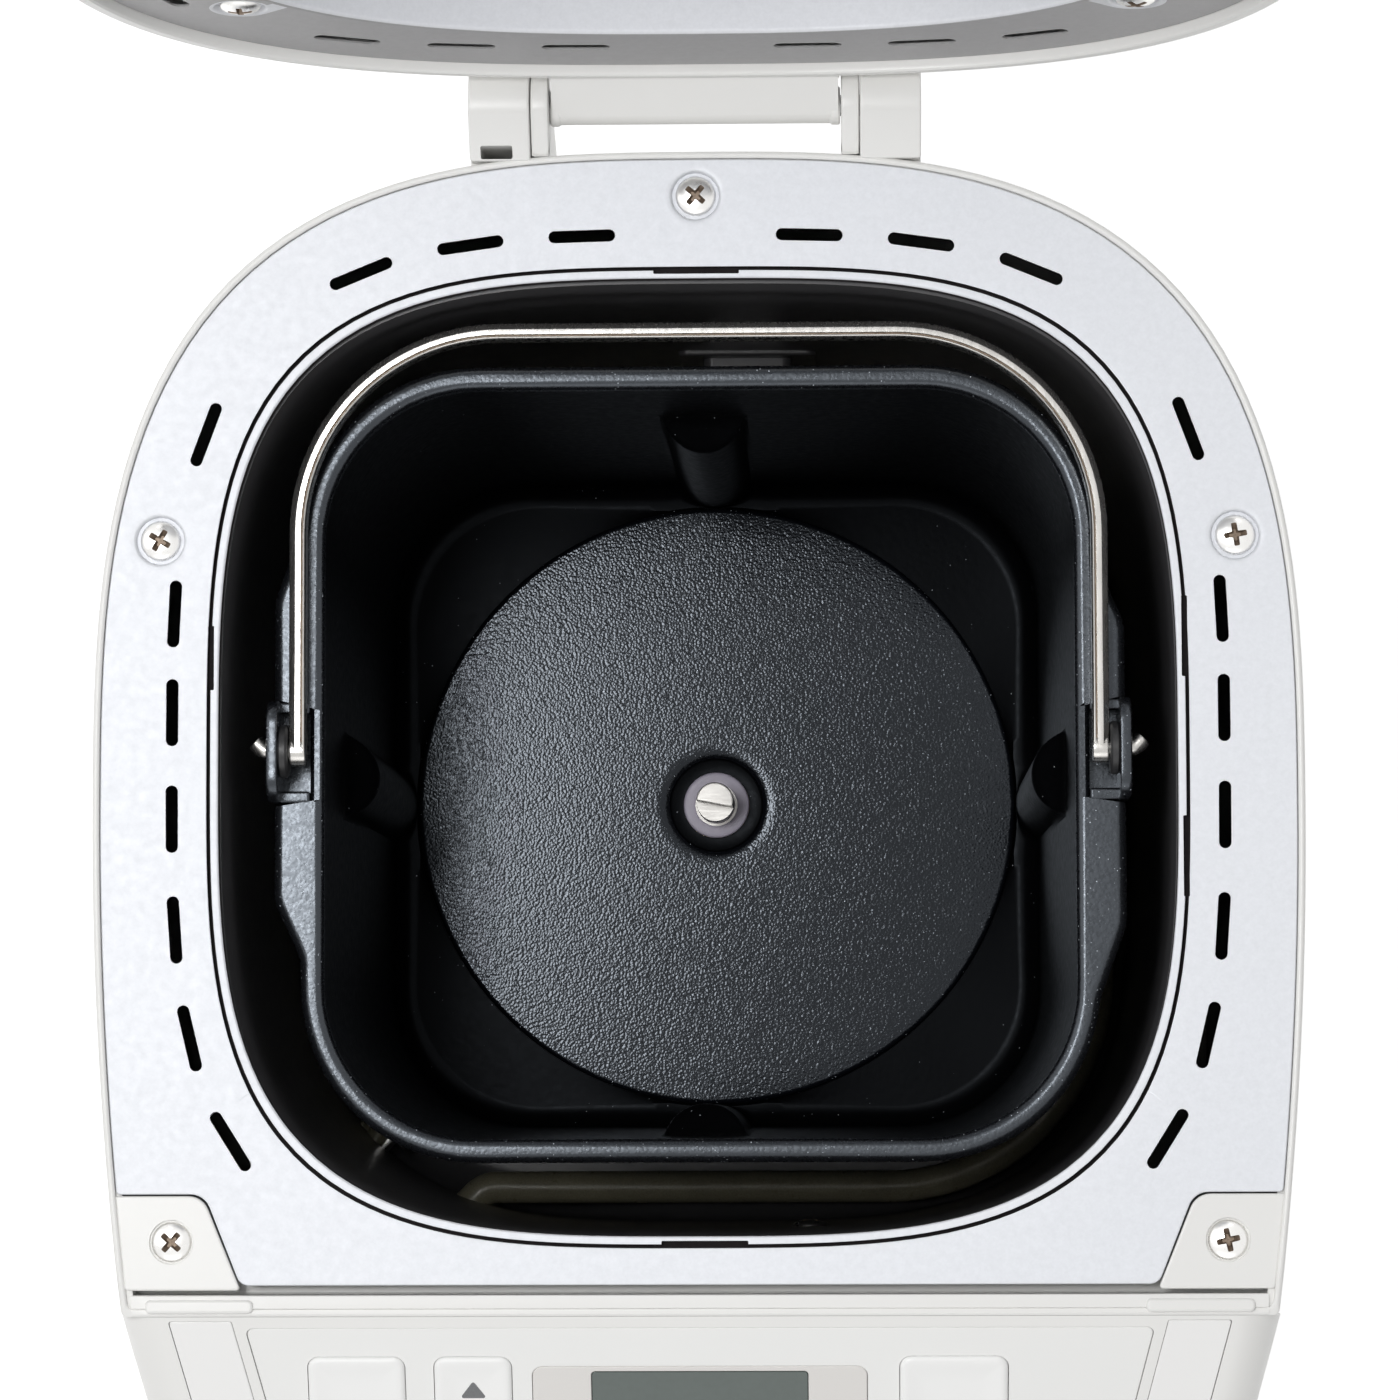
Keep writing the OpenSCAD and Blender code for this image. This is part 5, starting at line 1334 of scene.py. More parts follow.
@dataclass
class ControlPanel:
    """Fascia with its keys, display and surround."""

    front: FrontHousing
    drop: float = 0.2
    thickness: float = 2.0
    key_h: float = 14.0
    key_r: float = 2.2
    key_rise: float = 0.9
    display: tuple[float, float] = (62.0, 34.0)
    window: tuple[float, float] = (40.0, 20.0)
    window_up: float = 5.8
    display_y: float = -27.4
    keys: tuple[Key, ...] = (
        Key("menu", -63.6, -15.4, 18.0, Body.MENU),
        Key("crust", -61.8, -35.9, 14.4, Body.CRUST),
        Key("up", -42.0, -15.4, 14.4, Body.UP, 1),
        Key("down", -42.0, -35.9, 14.4, Body.DOWN, -1),
        Key("start", 47.0, -15.4, 20.0, Body.START),
        Key("cancel", 47.0, -35.9, 20.0, Body.CANCEL),
    )

    def key_outline(self, key: Key, grow: float = 0.0) -> Ring:
        """Plan of a key, made wider by grow."""
        plan = rounded_box(key.width / 2 + grow, self.key_h / 2 + grow, max(self.key_r + grow, 0.5), 6)
        return plan + np.array([key.x, key.y])

    def cap(self, key: Key) -> Shape:
        """Key cap: pillowed edge, shallow dish, flange and stem below."""
        top = -self.drop + self.key_rise - 0.2
        low = -self.drop - self.thickness
        steps = [(-1.0, low - 1.5), (-1.0, low - 0.35), (0.0, low - 0.35), (0.0, top - 0.95),
                 (0.08, top - 0.6), (0.3, top - 0.28), (0.65, top - 0.08), (1.1, top), (1.8, top - 0.05),
                 (2.9, top - 0.2), (4.2, top - 0.32), (5.4, top - 0.36)]
        made = Shape().loft([level(self.key_outline(key, -i), z) for i, z in steps])
        stem = Shape().block(circle(2, 20), -9.4 + 0.85, low - 1.2, 0)
        return made.add(stem, by(key.x, key.y, 0))

    def arrow(self, key: Key) -> Shape:
        """Thin printed triangle on a key."""
        size, top = 2.5, -self.drop + self.key_rise - 0.2
        tip = np.array([(-size, -size * 0.62), (size, -size * 0.62), (0, size * 0.78)]) * [1, key.arrow]
        plan = tip if key.arrow > 0 else tip[::-1]
        outline = rounded(plan, [0.35] * 3, 3) + np.array([key.x, key.y + 0.2])
        return Shape().block(outline, top - 0.8, top - 0.31, 0)

    def build(self) -> None:
        """Builds and dresses the panel."""
        place = self.front.on_slope()
        low, high = -self.drop - self.thickness, -self.drop + 0.02
        plate = Shape().block(self.front.fascia_outline(), low, high, 0.35)
        fascia = Piece("control_panel", plate.moved(place))
        wide, tall = (v / 2 for v in self.display)
        for key in self.keys:
            fascia.combine(Shape().block(self.key_outline(key, 0.11), low - 2, high + 2, 0).moved(place))
        shift = by(0, self.display_y, 0)
        seat = Shape().block(rounded_box(wide + 0.1, tall + 0.1, 2.1), high - 1.4, high + 2, 0)
        up = np.array([0, self.window_up])
        opening = rounded_box(self.window[0] / 2 - 1.5, self.window[1] / 2 - 1.5, 1) + up
        hole = Shape().block(opening, low - 2, high, 0)
        fascia.combine(seat.moved(place @ shift)).combine(hole.moved(place @ shift))
        fascia.done(PALETTE.fascia, Body.BASE, Slot.FASCIA, "control_fascia")
        for key in self.keys:
            Piece(key.name + "_cap", self.cap(key).moved(place)).done(
                PALETTE.key, key.body, Slot.KEY, key.name + "_key")
            if key.arrow:
                Piece(key.name + "_arrow", self.arrow(key).moved(place)).done(PALETTE.ink, key.body, Slot.KEY)
        frame_plan = rounded_box(wide, tall, 2.0)
        opening = rounded_box(self.window[0] / 2 + 0.1, self.window[1] / 2 + 0.1, 0.8) + up
        rings = [(inset(frame_plan, i), high - d) for i, d in round_profile(0.3)]
        inner = [(inset(opening, -i), high - d) for i, d in reversed(round_profile(0.25))]
        rings = [(frame_plan, high - 1.35)] + rings + inner + [(opening, high - 1.35)]
        around = Shape().loft([level(o, z) for o, z in rings], wrap=True)
        Piece("display_bezel", around.moved(place @ shift)).done(
            PALETTE.surround, Body.BASE, Slot.SURROUND, "display_surround")
        glass = rounded_box(self.window[0] / 2, self.window[1] / 2, 0.7) + up
        pane = Shape().block(glass, high - 1.35, high - 0.12, 0.15)
        Piece("display_pane", pane.moved(place @ shift)).done(
            PALETTE.glass, Body.BASE, Slot.GLASS, "display_window")


# ---- Deck, chamber and what is in it ----


@dataclass
class Deck:
    """Deck sheet with its folded mouth, vent slots, dimples and screws."""

    housing: Housing
    screws: Repeater
    cutter: Repeater
    rim: float = 1.55
    sheet: float = 0.8
    power: float = 3.4
    lip_in: float = -0.2
    mouth_back: float = 0.4
    lip_depth: float = 2.6
    fold: float = 0.45
    slot_len: float = 12.5
    slot_w: float = 2.3
    slot_off: float = 8.0
    slot_angles: tuple[float, ...] = (12.3, 23.7, 34.6, 56.5, 74.5, 85, 96.6, 108.2, 118.9, 129.4)
    cup_r: float = 5.6
    dimple: float = 1.1

    def screw_places(self) -> Points:
        """Places of the three deck screws and the two tab screws."""
        side, edge = DATUM.half_w - 12.5, self.housing.side_at_line() - 9.3
        return [(0, DATUM.back - 8.4), (side, 40.7), (-side, 40.7), (edge, -89.5), (-edge, -89.5)]

    def outline(self) -> Ring:
        """Plan of the sheet, notched at its two front corners."""
        grow, house = 0.28, self.housing
        back = grow - house.deck_front + house.tab_depth
        inner = house.side_at_line() - house.tab_w - grow
        foot = inner - house.tab_slant
        right = PLAN.side(self.rim, back)
        left = [(-x, y) for x, y in right]
        points = PLAN.rear(self.rim) + left + [(-inner, back), (-foot, -house.deck_front)]
        points += [(foot, -house.deck_front), (inner, back)] + right[::-1]
        radii = [0.0] * len(points)
        first = len(PLAN.rear(self.rim)) + len(left)
        radii[first - 1 : first + 5] = 0.8, 3.8, 2.4, 2.4, 3.8, 0.8
        return densified(rounded(points, radii, 6), 4)

    def sheet_shape(self, top: float) -> Shape:
        """Sheet with its mouth folded down into the chamber."""
        outer = self.outline()
        angles = np.arctan2(outer[:, 1], outer[:, 0])
        mouth = DATUM.chamber_half - self.lip_in

        def hole(grow: float) -> Ring:
            """Mouth made wider by grow, a point for each point of the outline."""
            return polar(super_reach(mouth + grow, self.power, angles),
                         angles) + np.array([0, self.mouth_back])

        edge = [(inset(outer, i), top - d) for i, d in round_profile(0.3, 3)]
        bend = [(hole(self.fold * s - self.sheet), top - self.fold * c) for c, s in quarter(6)]
        rings = [(inset(outer, 0.1), top - self.sheet), (outer, top - self.sheet + 0.15)] + edge
        channel = [(hole(grow), top - drop) for grow, drop in (
            (1.52, 0.0), (1.4, 0.08), (1.35, 1.5), (0.76, 1.5), (0.7, 0.08), (0.6, 0.0))]
        under = [(hole(grow), top - drop) for grow, drop in (
            (-self.sheet, self.lip_depth - 0.2), (0.2 - self.sheet, self.lip_depth), (-0.15, self.lip_depth),
            (0, self.lip_depth - 0.2), (0, 2.1), (2.2, 2.1), (2.3, self.sheet))]
        rings += [(hole(4.5), top)] + channel + bend + under
        return Shape().loft([level(o, z) for o, z in rings], wrap=True)

    def slots(self, z: float) -> list[Spot]:
        """Places of the vent slots, an equal set on each side."""
        out = []
        for angle in self.slot_angles:
            a = math.radians(90 - angle)
            angle = np.array([a])
            spot = polar(super_reach(DATUM.chamber_half + self.slot_off, self.power, angle), angle)[0]
            lean = math.atan2(abs(math.sin(a)) ** (self.power - 1) * np.sign(math.sin(a)),
                              abs(math.cos(a)) ** (self.power - 1))
            for side in (1, -1):
                turn = math.degrees(lean) + 90
                out.append(Spot((side * spot[0], spot[1], z), (0, 0, 1), turn if side > 0 else 180 - turn))
        return out

    def slot_tool(self, wider: float = 0.0) -> Shape:
        """Cutter of one vent slot about the origin."""
        half = (self.slot_w + wider) / 2
        return Shape().block(rounded_box(self.slot_len / 2, half, half - 0.01, 8), -3, 3, 0)

    def cup(self, z: float) -> Shape:
        """Pressed cup round a screw, its floor below the sheet."""
        under = -self.dimple - self.sheet
        profile = [(self.cup_r, 0.0), (5.0, -0.02), (4.75, -0.12), (4.58, -0.34), (4.48, -0.7),
                   (4.35, -self.dimple), (1.6, -self.dimple), (1.6, under), (4.8, under),
                   (5.2, -self.sheet - 0.3), (self.cup_r, -self.sheet)]
        return Shape().turned([(r, z + h) for r, h in reversed(profile)], 48, wrap=True)

    def build(self) -> None:
        """Builds and dresses the deck."""
        top, places = DATUM.deck_z, self.screw_places()
        plate = Piece("deck_blank", self.sheet_shape(top))
        for x, y in places[:3]:
            hole = Shape().block(circle(self.cup_r - 0.02, 48), top - 2, top + 1, 0)
            plate.combine(hole.moved(by(x, y, 0)))
        out = DATUM.chamber_half - self.lip_in + 0.6
        notches = ((0.1, out, 16, 1.1), (1.2, -out, 16, 1.1), (-out, 18.3, 1.1, 12), (out, 21.5, 1.1, 15),
                   (out, -19.3, 1.1, 15))
        for x, y, wide, deep in notches:
            tool = Shape().block(rounded_box(wide / 2, deep / 2, 0.2, 2), top - 1.45, top + 1, 0)
            plate.combine(tool.moved(by(x, y + self.mouth_back, 0)))
        made = self.cutter.make("deck_sheet", self.slot_tool(), self.slots(top), PALETTE.deck,
                                body=plate.item)
        bpy.data.objects.remove(plate.item)
        deck = Piece("deck_sheet", made)
        for x, y in places[:3]:
            deck.combine(self.cup(top - 0.002).moved(by(x, y, 0)), "UNION")
        clear = self.cup_r + 0.8
        # Faces below the sheet's top, clear of the screw cups (the channel round the mouth, the bend and lip,
        # slot, notch and edge walls, the underside), take the near-black gap finish: painted shade.
        deck.mark(lambda spot, _: spot.z < top - 0.35 and all(math.dist(spot.xy, p) > clear for p in places[:3]))
        deck.done([PALETTE.deck, PALETTE.gap], Body.BASE, Slot.DECK, "deck_plate")
        spots = [Spot((x, y, top - self.dimple)) for x, y in places]
        PanScrew().set(self.screws, "deck_fasteners", spots, 4, Body.BASE, "deck_screws")


@dataclass
class Oven:
    """Baking chamber with its heater, sensor, socket and fittings."""

    deck: Deck
    screws: Repeater
    sweeper: Sweeper
    wall: float = 0.8
    bend: float = 9.0
    floor_hole: float = 12.0
    heater_r: float = 3.4
    heater_half: float = 81.5
    heater_z: float = 65.8
    corner_r: float = 45.0
    end_bend: float = 6.0
    front_run: float = 11.0
    sensor_x: float = 8.0
    sensor_drop: float = 100.0
    screw_ring: float = 63.0

    def heater_path(self) -> Points:
        """Path of the tube: in through the front left corner, once round and out again."""
        r, small = self.corner_r, self.end_bend
        run, far = self.heater_half - r, DATUM.chamber_half * 1.25
        diagonal = math.radians(225)
        out = np.array([math.cos(diagonal), math.sin(diagonal)])
        across = np.array([-out[1], out[0]])
        centre = np.array([-run, -run]) + r * out + out * small
        entry = centre - across * small
        base = math.degrees(math.atan2(*(entry - centre)[::-1]))
        points = [tuple(out * far - across * small), tuple(entry)]
        points += arc_points(centre, small, base, 90, 8)[1:]
        points += arc_points((-run, -run), r, 225, -45, 10)[1:]
        for x, y, start in ((-run, run, 180), (run, run, 90), (run, -run, 0)):
            points += arc_points((x, y), r, start, -90, 20)
        points += arc_points((-run - self.front_run, -self.heater_half - small), small, 90, 45, 6)
        last = np.array(points[-1])
        points.append(tuple(last + out * (far - float(last @ out))))
        apart = [p for i, p in enumerate(points) if i == 0 or math.dist(p, points[i - 1]) > 0.05]
        return [(x, y, self.heater_z) for x, y in apart]

    def skin(self, low: float, high: float) -> Shape:
        """Skin of the chamber: its floor, the bend round it and its wall, open above."""
        half, bend, angles = DATUM.chamber_half, self.bend, np.linspace(0, 2 * np.pi, 181)[:-1]
        profile = [((half - bend) * k / 10, low) for k in range(10)]
        profile += [(half - bend * s, low + bend * c) for c, s in quarter(11)]
        profile += [(half, low + bend + (high - low - bend) * k / 20) for k in range(1, 21)]
        rings = [level(polar(super_reach(d, self.deck.power, angles), angles), z) for d, z in profile]
        return Shape().loft(rings, caps=(False, False))

    def sensor(self) -> Shape:
        """Sensor's bed and head, on the rear wall."""
        z, wall = DATUM.deck_z - self.sensor_drop, DATUM.chamber_half - 0.35
        made = Shape()
        for half_x, half_z, deep, off in ((14, 10, 1.5, 0), (9, 6, 5.0, 0.75)):
            plate = Shape().block(rounded_box(half_x, half_z, 2.0, 5), 0, deep, 0.6)
            made.add(plate, by(self.sensor_x, wall - off, z) @ UPRIGHT)
        return made

    def socket(self) -> Shape:
        """Socket on the chamber's floor: a flange with an upright collar."""
        low = DATUM.chamber_low + self.wall
        profile = [(20, 0), (67.6, 0), (68, 0.3), (68, 1.35), (67.6, 1.7), (58.6, 1.7), (58.1, 2.2),
                   (58.0, 10.3), (57.6, 10.7), (56.0, 10.7), (55.6, 10.3), (55.6, 2.2), (55.2, 1.7),
                   (20.4, 1.7), (20, 1.4)]
        return Shape().turned([(r, low + h) for r, h in profile], 96, wrap=True)

    def build(self) -> None:
        """Builds and dresses the chamber."""
        low, high = DATUM.chamber_low + self.wall, DATUM.deck_z - self.deck.lip_depth - 0.2
        oven = Piece("oven_liner", self.skin(low, high)).wall(self.wall)
        oven.combine(Shape().block(circle(self.floor_hole), low - 5, low + 3, 0))
        oven.done(PALETTE.chamber, Body.BASE, Slot.CHAMBER, "oven_chamber")
        tube = self.sweeper.make("heater_tube", self.heater_path(), circle(self.heater_r, 20), PALETTE.heater)
        Piece("heater_tube", tube).done(PALETTE.heater, Body.BASE, Slot.HEATER, "heater")
        Piece("heat_sensor", self.sensor()).done(PALETTE.chamber, Body.BASE, Slot.CHAMBER,
                                                 "temperature_sensor")
        clip = Shape().block(rounded_box(4.6, 1.3, 0.6, 3), 0, 0.8, 0.25)
        place = by(self.sensor_x, DATUM.chamber_half - 6.1, DATUM.deck_z - self.sensor_drop + 3) @ UPRIGHT
        Piece("sensor_clip", clip.moved(place)).done(PALETTE.steel, Body.BASE, Slot.STEEL)
        Piece("pan_cradle", self.socket()).done(PALETTE.steel, Body.BASE, Slot.STEEL, "pan_socket")
        corners, ring = np.radians([45, 135, 225, 315]), self.screw_ring
        spots = [Spot((ring * math.cos(a), ring * math.sin(a), low + 1.7)) for a in corners]
        PanScrew(shank=6.5).set(self.screws, "cradle_fasteners", spots, 2, Body.BASE, "socket_screws")
        out = math.radians(225)
        bolt = DATUM.chamber_half + 10
        places = [Spot((bolt * math.cos(out) + 0.3, bolt * math.sin(out) - 0.3, self.heater_z),
                       (-math.cos(out), -math.sin(out), 0), 20),
                  Spot((20, -DATUM.chamber_half + 0.35, DATUM.deck_z - self.sensor_drop), (0, 1, 0), 12)]
        PanScrew(shank=5).set(self.screws, "wall_fasteners", places, 6, Body.BASE, "chamber_screws")


# ---- Bread pan ----


@dataclass
class BreadPan:
    """Lift-out pan: ribbed wall, rolled rim with two wings, raised disc, shaft and seal."""

    half: float = 71.0
    draft: float = 2.5
    corner_r: float = 29.0
    wall: float = 2.2
    rim_w: float = 4.2
    rim_h: float = 3.4
    rib_r: float = 8.3
    rib_out: float = 1.3
    rib_drop: float = 35.0
    pivot_y: float = 2.0
    ear_gap: float = 9.8
    foot_r: float = 6.0
    disc_r: float = 63.8
    disc_h: float = 2.0
    hole_r: float = 9.9
    bush_r: float = 8.0
    seal_r: float = 7.01

    def floor_z(self) -> float:
        """Height of the pan's floor."""
        return DATUM.pan_under + self.wall

    def angles(self) -> Ring:
        """Directions of the pan's points, closer together at its ribs and pockets."""
        every = set(np.round(np.arange(0, 360, 1.25), 3))
        for rib in (0, 90, 180, 270):
            every |= {round((rib + d) % 360, 3) for d in np.arange(-10, 10.01, 0.5)}
        for side in (-1, 1):
            for y in (self.pivot_y - self.ear_gap, self.pivot_y + self.ear_gap):
                edge = math.degrees(math.atan2(y, side * (self.half + self.wall + 3)))
                every = {a for a in every if abs((a - edge + 180) % 360 - 180) > 0.3}
                every |= {round((edge + d) % 360, 3) for d in (-0.06, 0.06)}
        return np.radians(np.array(sorted(every)))

    def wall_reach(self, z: float, angles: Ring, grow: float = 0.0) -> Ring:
        """Distance from the middle to the wall at the height z."""
        share = (z - self.floor_z()) / (DATUM.rim_z - self.floor_z())
        half = self.half - self.draft * (1 - share) + grow
        return reach(rounded_box(half, half, self.corner_r + grow, 14), angles)

    def rib_reach(self, z: float, angles: Ring) -> Ring:
        """Distance from the middle to the ribs at the height z, far out where there is none."""
        centre = self.half + self.rib_out
        turn = np.mod(angles + np.pi / 4, np.pi / 2) - np.pi / 4
        inside = self.rib_r**2 - (centre * np.sin(turn)) ** 2
        near = centre * np.cos(turn) - np.sqrt(np.maximum(inside, 0))
        mid_z = DATUM.rim_z - self.rib_drop
        slant = centre + (z - mid_z) * (1 - 0.12 * np.cos(turn * 9))
        spot = np.where(inside > 0, near, centre + 20)
        return self.smooth_max(spot, slant, 0.7)

    @staticmethod
    def smooth_min(a: Ring, b: Ring, soft: float) -> Ring:
        """Smaller of two values with a soft change between them."""
        mix = np.clip(0.5 + 0.5 * (b - a) / soft, 0, 1)
        return b * (1 - mix) + a * mix - soft * mix * (1 - mix)

    def smooth_max(self, a: Ring, b: Ring, soft: float) -> Ring:
        """Larger of two values with a soft change between them."""
        return -self.smooth_min(-a, -b, soft)

    def inner_reach(self, z: float, angles: Ring) -> Ring:
        """Distance from the middle to the inner face at the height z, ribs included."""
        return self.smooth_min(self.wall_reach(z, angles), self.rib_reach(z, angles), 2.0)

    def rim_outline(self, grow: float = 0.0) -> Ring:
        """Plan of the rim with its wings, without the pockets."""
        wide = self.half + self.rim_w
        at = [self.pivot_y + d for d in (-48, -33, 24, 36)]
        wing = [(wide - 0.5, at[0]), (DATUM.wing_x - 0.2, at[1]), (DATUM.wing_x - 0.2, at[2]),
                (wide - 0.5, at[3])]
        turn = np.radians(np.arange(0, 360, 0.5))
        base = reach(rounded_box(wide, wide, self.corner_r + self.rim_w, 14), turn)
        right = rounded([(0, -60)] + wing + [(0, 60)], [0, 7, 6, 6, 7, 0], 6)
        lobe = reach(np.concatenate([right, -right]), turn)
        return polar(self.smooth_max(base, lobe, 1.2) + grow, turn)

    def rim_reach(self, angles: Ring, grow: float = 0.0) -> Ring:
        """Distance from the middle to the rim's edge, wings and pockets included."""
        out = reach(self.rim_outline(), angles) + grow
        spot = polar(out, angles)
        pocket = (np.abs(spot[:, 1] - self.pivot_y) < self.ear_gap) & (np.abs(spot[:, 0]) > self.half)
        cut = (self.half + self.wall + 0.25) / np.maximum(np.abs(np.cos(angles)), 0.1)
        return np.where(pocket, np.minimum(out, cut), out)

    def shell(self) -> Shape:
        """Whole shell as one closed skin, from its bush hole inside round to the hole below."""
        angles = self.angles()
        floor, rim, under = self.floor_z(), DATUM.rim_z, DATUM.pan_under
        rings: list[Ring] = []

        def put(distance: object, z: object) -> None:
            """Adds a ring at a distance, or a distance in each direction."""
            spread = np.broadcast_to(distance, len(angles)).astype(float)
            rings.append(level(polar(spread, angles), z))

        disc = floor + self.disc_h
        for r, rise in ((self.seal_r, 0.5), (self.seal_r, 0.68), (self.seal_r + 0.1, 0.76),
                        (self.hole_r - 0.35, 0.76)):
            put(r, floor + rise)
        for grow, drop in ((-0.1, 1.1), (0.0, 0.9), (0.16, 0.6), (0.45, 0.36), (0.95, 0.18), (1.8, 0.06),
                           (3.2, 0.0)):
            put(self.hole_r + grow, disc - drop)
        for r in (24, 36, 48, 58):
            put(r, disc)
        low = self.inner_reach(floor + 2.0, angles)
        for grow, drop in ((-1.1, 0.0), (-0.55, 0.08), (-0.2, 0.3), (0.0, 0.65), (0.08, 1.4)):
            put(np.minimum(self.disc_r + grow, low - 0.35 + grow * 0.1), disc - drop)
        bend = np.clip(low - self.disc_r - 0.6, 0.12, 5.0)
        for c, s in quarter(6):
            put(low - bend * s, floor + bend * c)
        mid = rim - self.rib_drop
        heights = list(np.linspace(floor + 6, mid - 17, 12)) + list(np.arange(mid - 15.5, mid + 4, 0.8))
        heights += list(np.linspace(mid + 6, rim - 4.5, 7))
        for z in heights:
            put(self.inner_reach(z, angles), z)
        edge, out = self.wall_reach(rim, angles), self.rim_reach(angles)
        for c, s in quarter(7):
            put(edge - 0.25 + 1.8 * c, rim - 1.8 * s)
        for c, s in quarter(7):
            put(out - 1.9 * s, rim - 1.9 * c)
        put(out, rim - self.rim_h + 0.5)
        put(out - 0.4, rim - self.rim_h)
        for z in (rim - self.rim_h - 0.01, rim - 40, rim - 80, under + self.foot_r + 4):
            put(np.minimum(self.wall_reach(z, angles, self.wall), out - 0.45), z)
        foot = self.wall_reach(under + self.wall, angles, self.wall)
        for c, s in quarter(7):
            put(foot - self.foot_r * c, under + self.foot_r * s)
        put(self.bush_r, under)
        put(self.bush_r, floor + 0.5)
        return Shape().loft(rings, wrap=True)

    def coat(self, spot: Vector, normal: Vector) -> int:
        """Number of the coat at a spot of the shell: 0 on the disc, 1 on the rim, 2 on the wall."""
        if spot.z > DATUM.rim_z - 4.2:
            return 1
        # The ring round the hub hole is left out of the disc, so that it takes the near-black wall coat: painted
        # shade.
        disc = self.hole_r - 0.05 < math.hypot(spot.x, spot.y) < self.disc_r - 0.1
        return 0 if disc and spot.z > self.floor_z() + 0.1 and normal.z > 0.3 else 2

    def ear(self) -> Shape:
        """Right ear: an upright cheek with a leg at each end that runs in to the wall."""
        x0, x1, thick, long = 73.4, 78.8, 2.2, 19.0
        low, pivot = DATUM.rim_z - 8, DATUM.rim_z + 3.4
        side = rounded([(-long / 2, low), (long / 2, low), (long / 2, pivot + 4.7), (-long / 2, pivot + 4.7)],
                       [0.8, 0.8, 4.5, 4.5], 8)
        rings = [(x1, 0.35), (x1 + 0.12, 0.1), (x1 + 0.35, 0), (x1 + thick - 0.7, 0),
                 (x1 + thick - 0.25, 0.2), (x1 + thick, 0.7)]
        made = Shape().loft([standing(inset(side, i), x) for x, i in rings])
        for s in (-1, 1):
            leg = rounded_box((x1 + 0.6 - x0) / 2, thick / 2, 0.5, 3)
            made.add(Shape().block(leg, low, DATUM.rim_z + 0.2, 0.5).moved(
                by((x0 + x1 + 0.6) / 2, s * (long - thick) / 2, 0)))
        plate = rounded_box((x1 + 0.4 - x0) / 2, long / 2 - 0.3, 0.3, 2)
        made.add(Shape().block(plate, low, low + 2, 0.2).moved(by((x0 + x1 + 0.4) / 2, 0, 0)))
        return made.moved(by(0, self.pivot_y, 0))

    def build(self) -> None:
        """Builds and dresses the pan and what is fixed to it."""
        coats = [PALETTE.non_stick, PALETTE.rim, PALETTE.wall]
        Piece("bread_pan", self.shell()).mark(self.coat).done(coats, Body.PAN, Slot.NON_STICK, "pan_shell")
        ears = Piece("pan_ears", self.ear().pair())
        bore = Shape().block(circle(1.78, 24), -90, 90, 0)
        ears.combine(bore.moved(by(0, self.pivot_y, DATUM.rim_z + 3.4) @ ACROSS))
        ears.done(PALETTE.rim, Body.PAN, Slot.NON_STICK, "handle_ears")
        floor = self.floor_z()
        shaft_top = floor + self.disc_h + 15
        journal = floor + 0.5 + 1.2
        profile = [(0, 57.5), (4.2, 57.5), (4.5, 57.8), (4.5, journal), (4.0, journal),
                   (4.0, shaft_top - 6.4), (3.94, shaft_top - 6.2), (3.94, shaft_top - 0.5),
                   (3.8, shaft_top - 0.15), (3.5, shaft_top), (0, shaft_top)]
        shaft = Piece("mixing_shaft", Shape().turned(profile, 64))
        flat = Shape().block(rounded_box(6, 4, 0.1, 1), shaft_top - 6, shaft_top + 1, 0)
        turn = Matrix.Rotation(math.radians(-11), 4, "Z")
        shaft.combine(flat.moved(turn @ by(0, -4.4, 0)))
        groove = Shape().block(rounded_box(6, 0.16, 0.05, 1), shaft_top - 6.9, shaft_top - 5, 0)
        shaft.combine(groove.moved(turn @ by(0, -0.56, 0)))
        shaft.done(PALETTE.shaft, Body.SPINDLE, Slot.STAINLESS, "pan_shaft")
        seal = [(4.52, 0.5), (6.7, 0.5), (7, 0.7), (7, 1.3), (6.8, 1.55), (6.3, 1.7), (5.6, 1.62), (5.0, 1.7),
                (4.52, 1.6)]
        Piece("shaft_lip_seal", Shape().turned([(r, floor + h) for r, h in seal], 64, wrap=True)).done(
            PALETTE.seal, Body.PAN, Slot.SEAL, "shaft_seal")
        low = 53.8
        ring = [(53.1, 0), (54.7, 0), (55, 0.3), (55, 15.7), (54.7, 16), (20.3, 16), (20, 15.7), (20, 14.3),
                (20.3, 14), (52.4, 14), (52.8, 13.6), (52.8, 0.3)]
        Piece("pan_foot_ring", Shape().turned([(r, low + h) for r, h in ring], 96, wrap=True)).done(
            PALETTE.cast, Body.PAN, Slot.ALUMINIUM, "pan_base_ring")


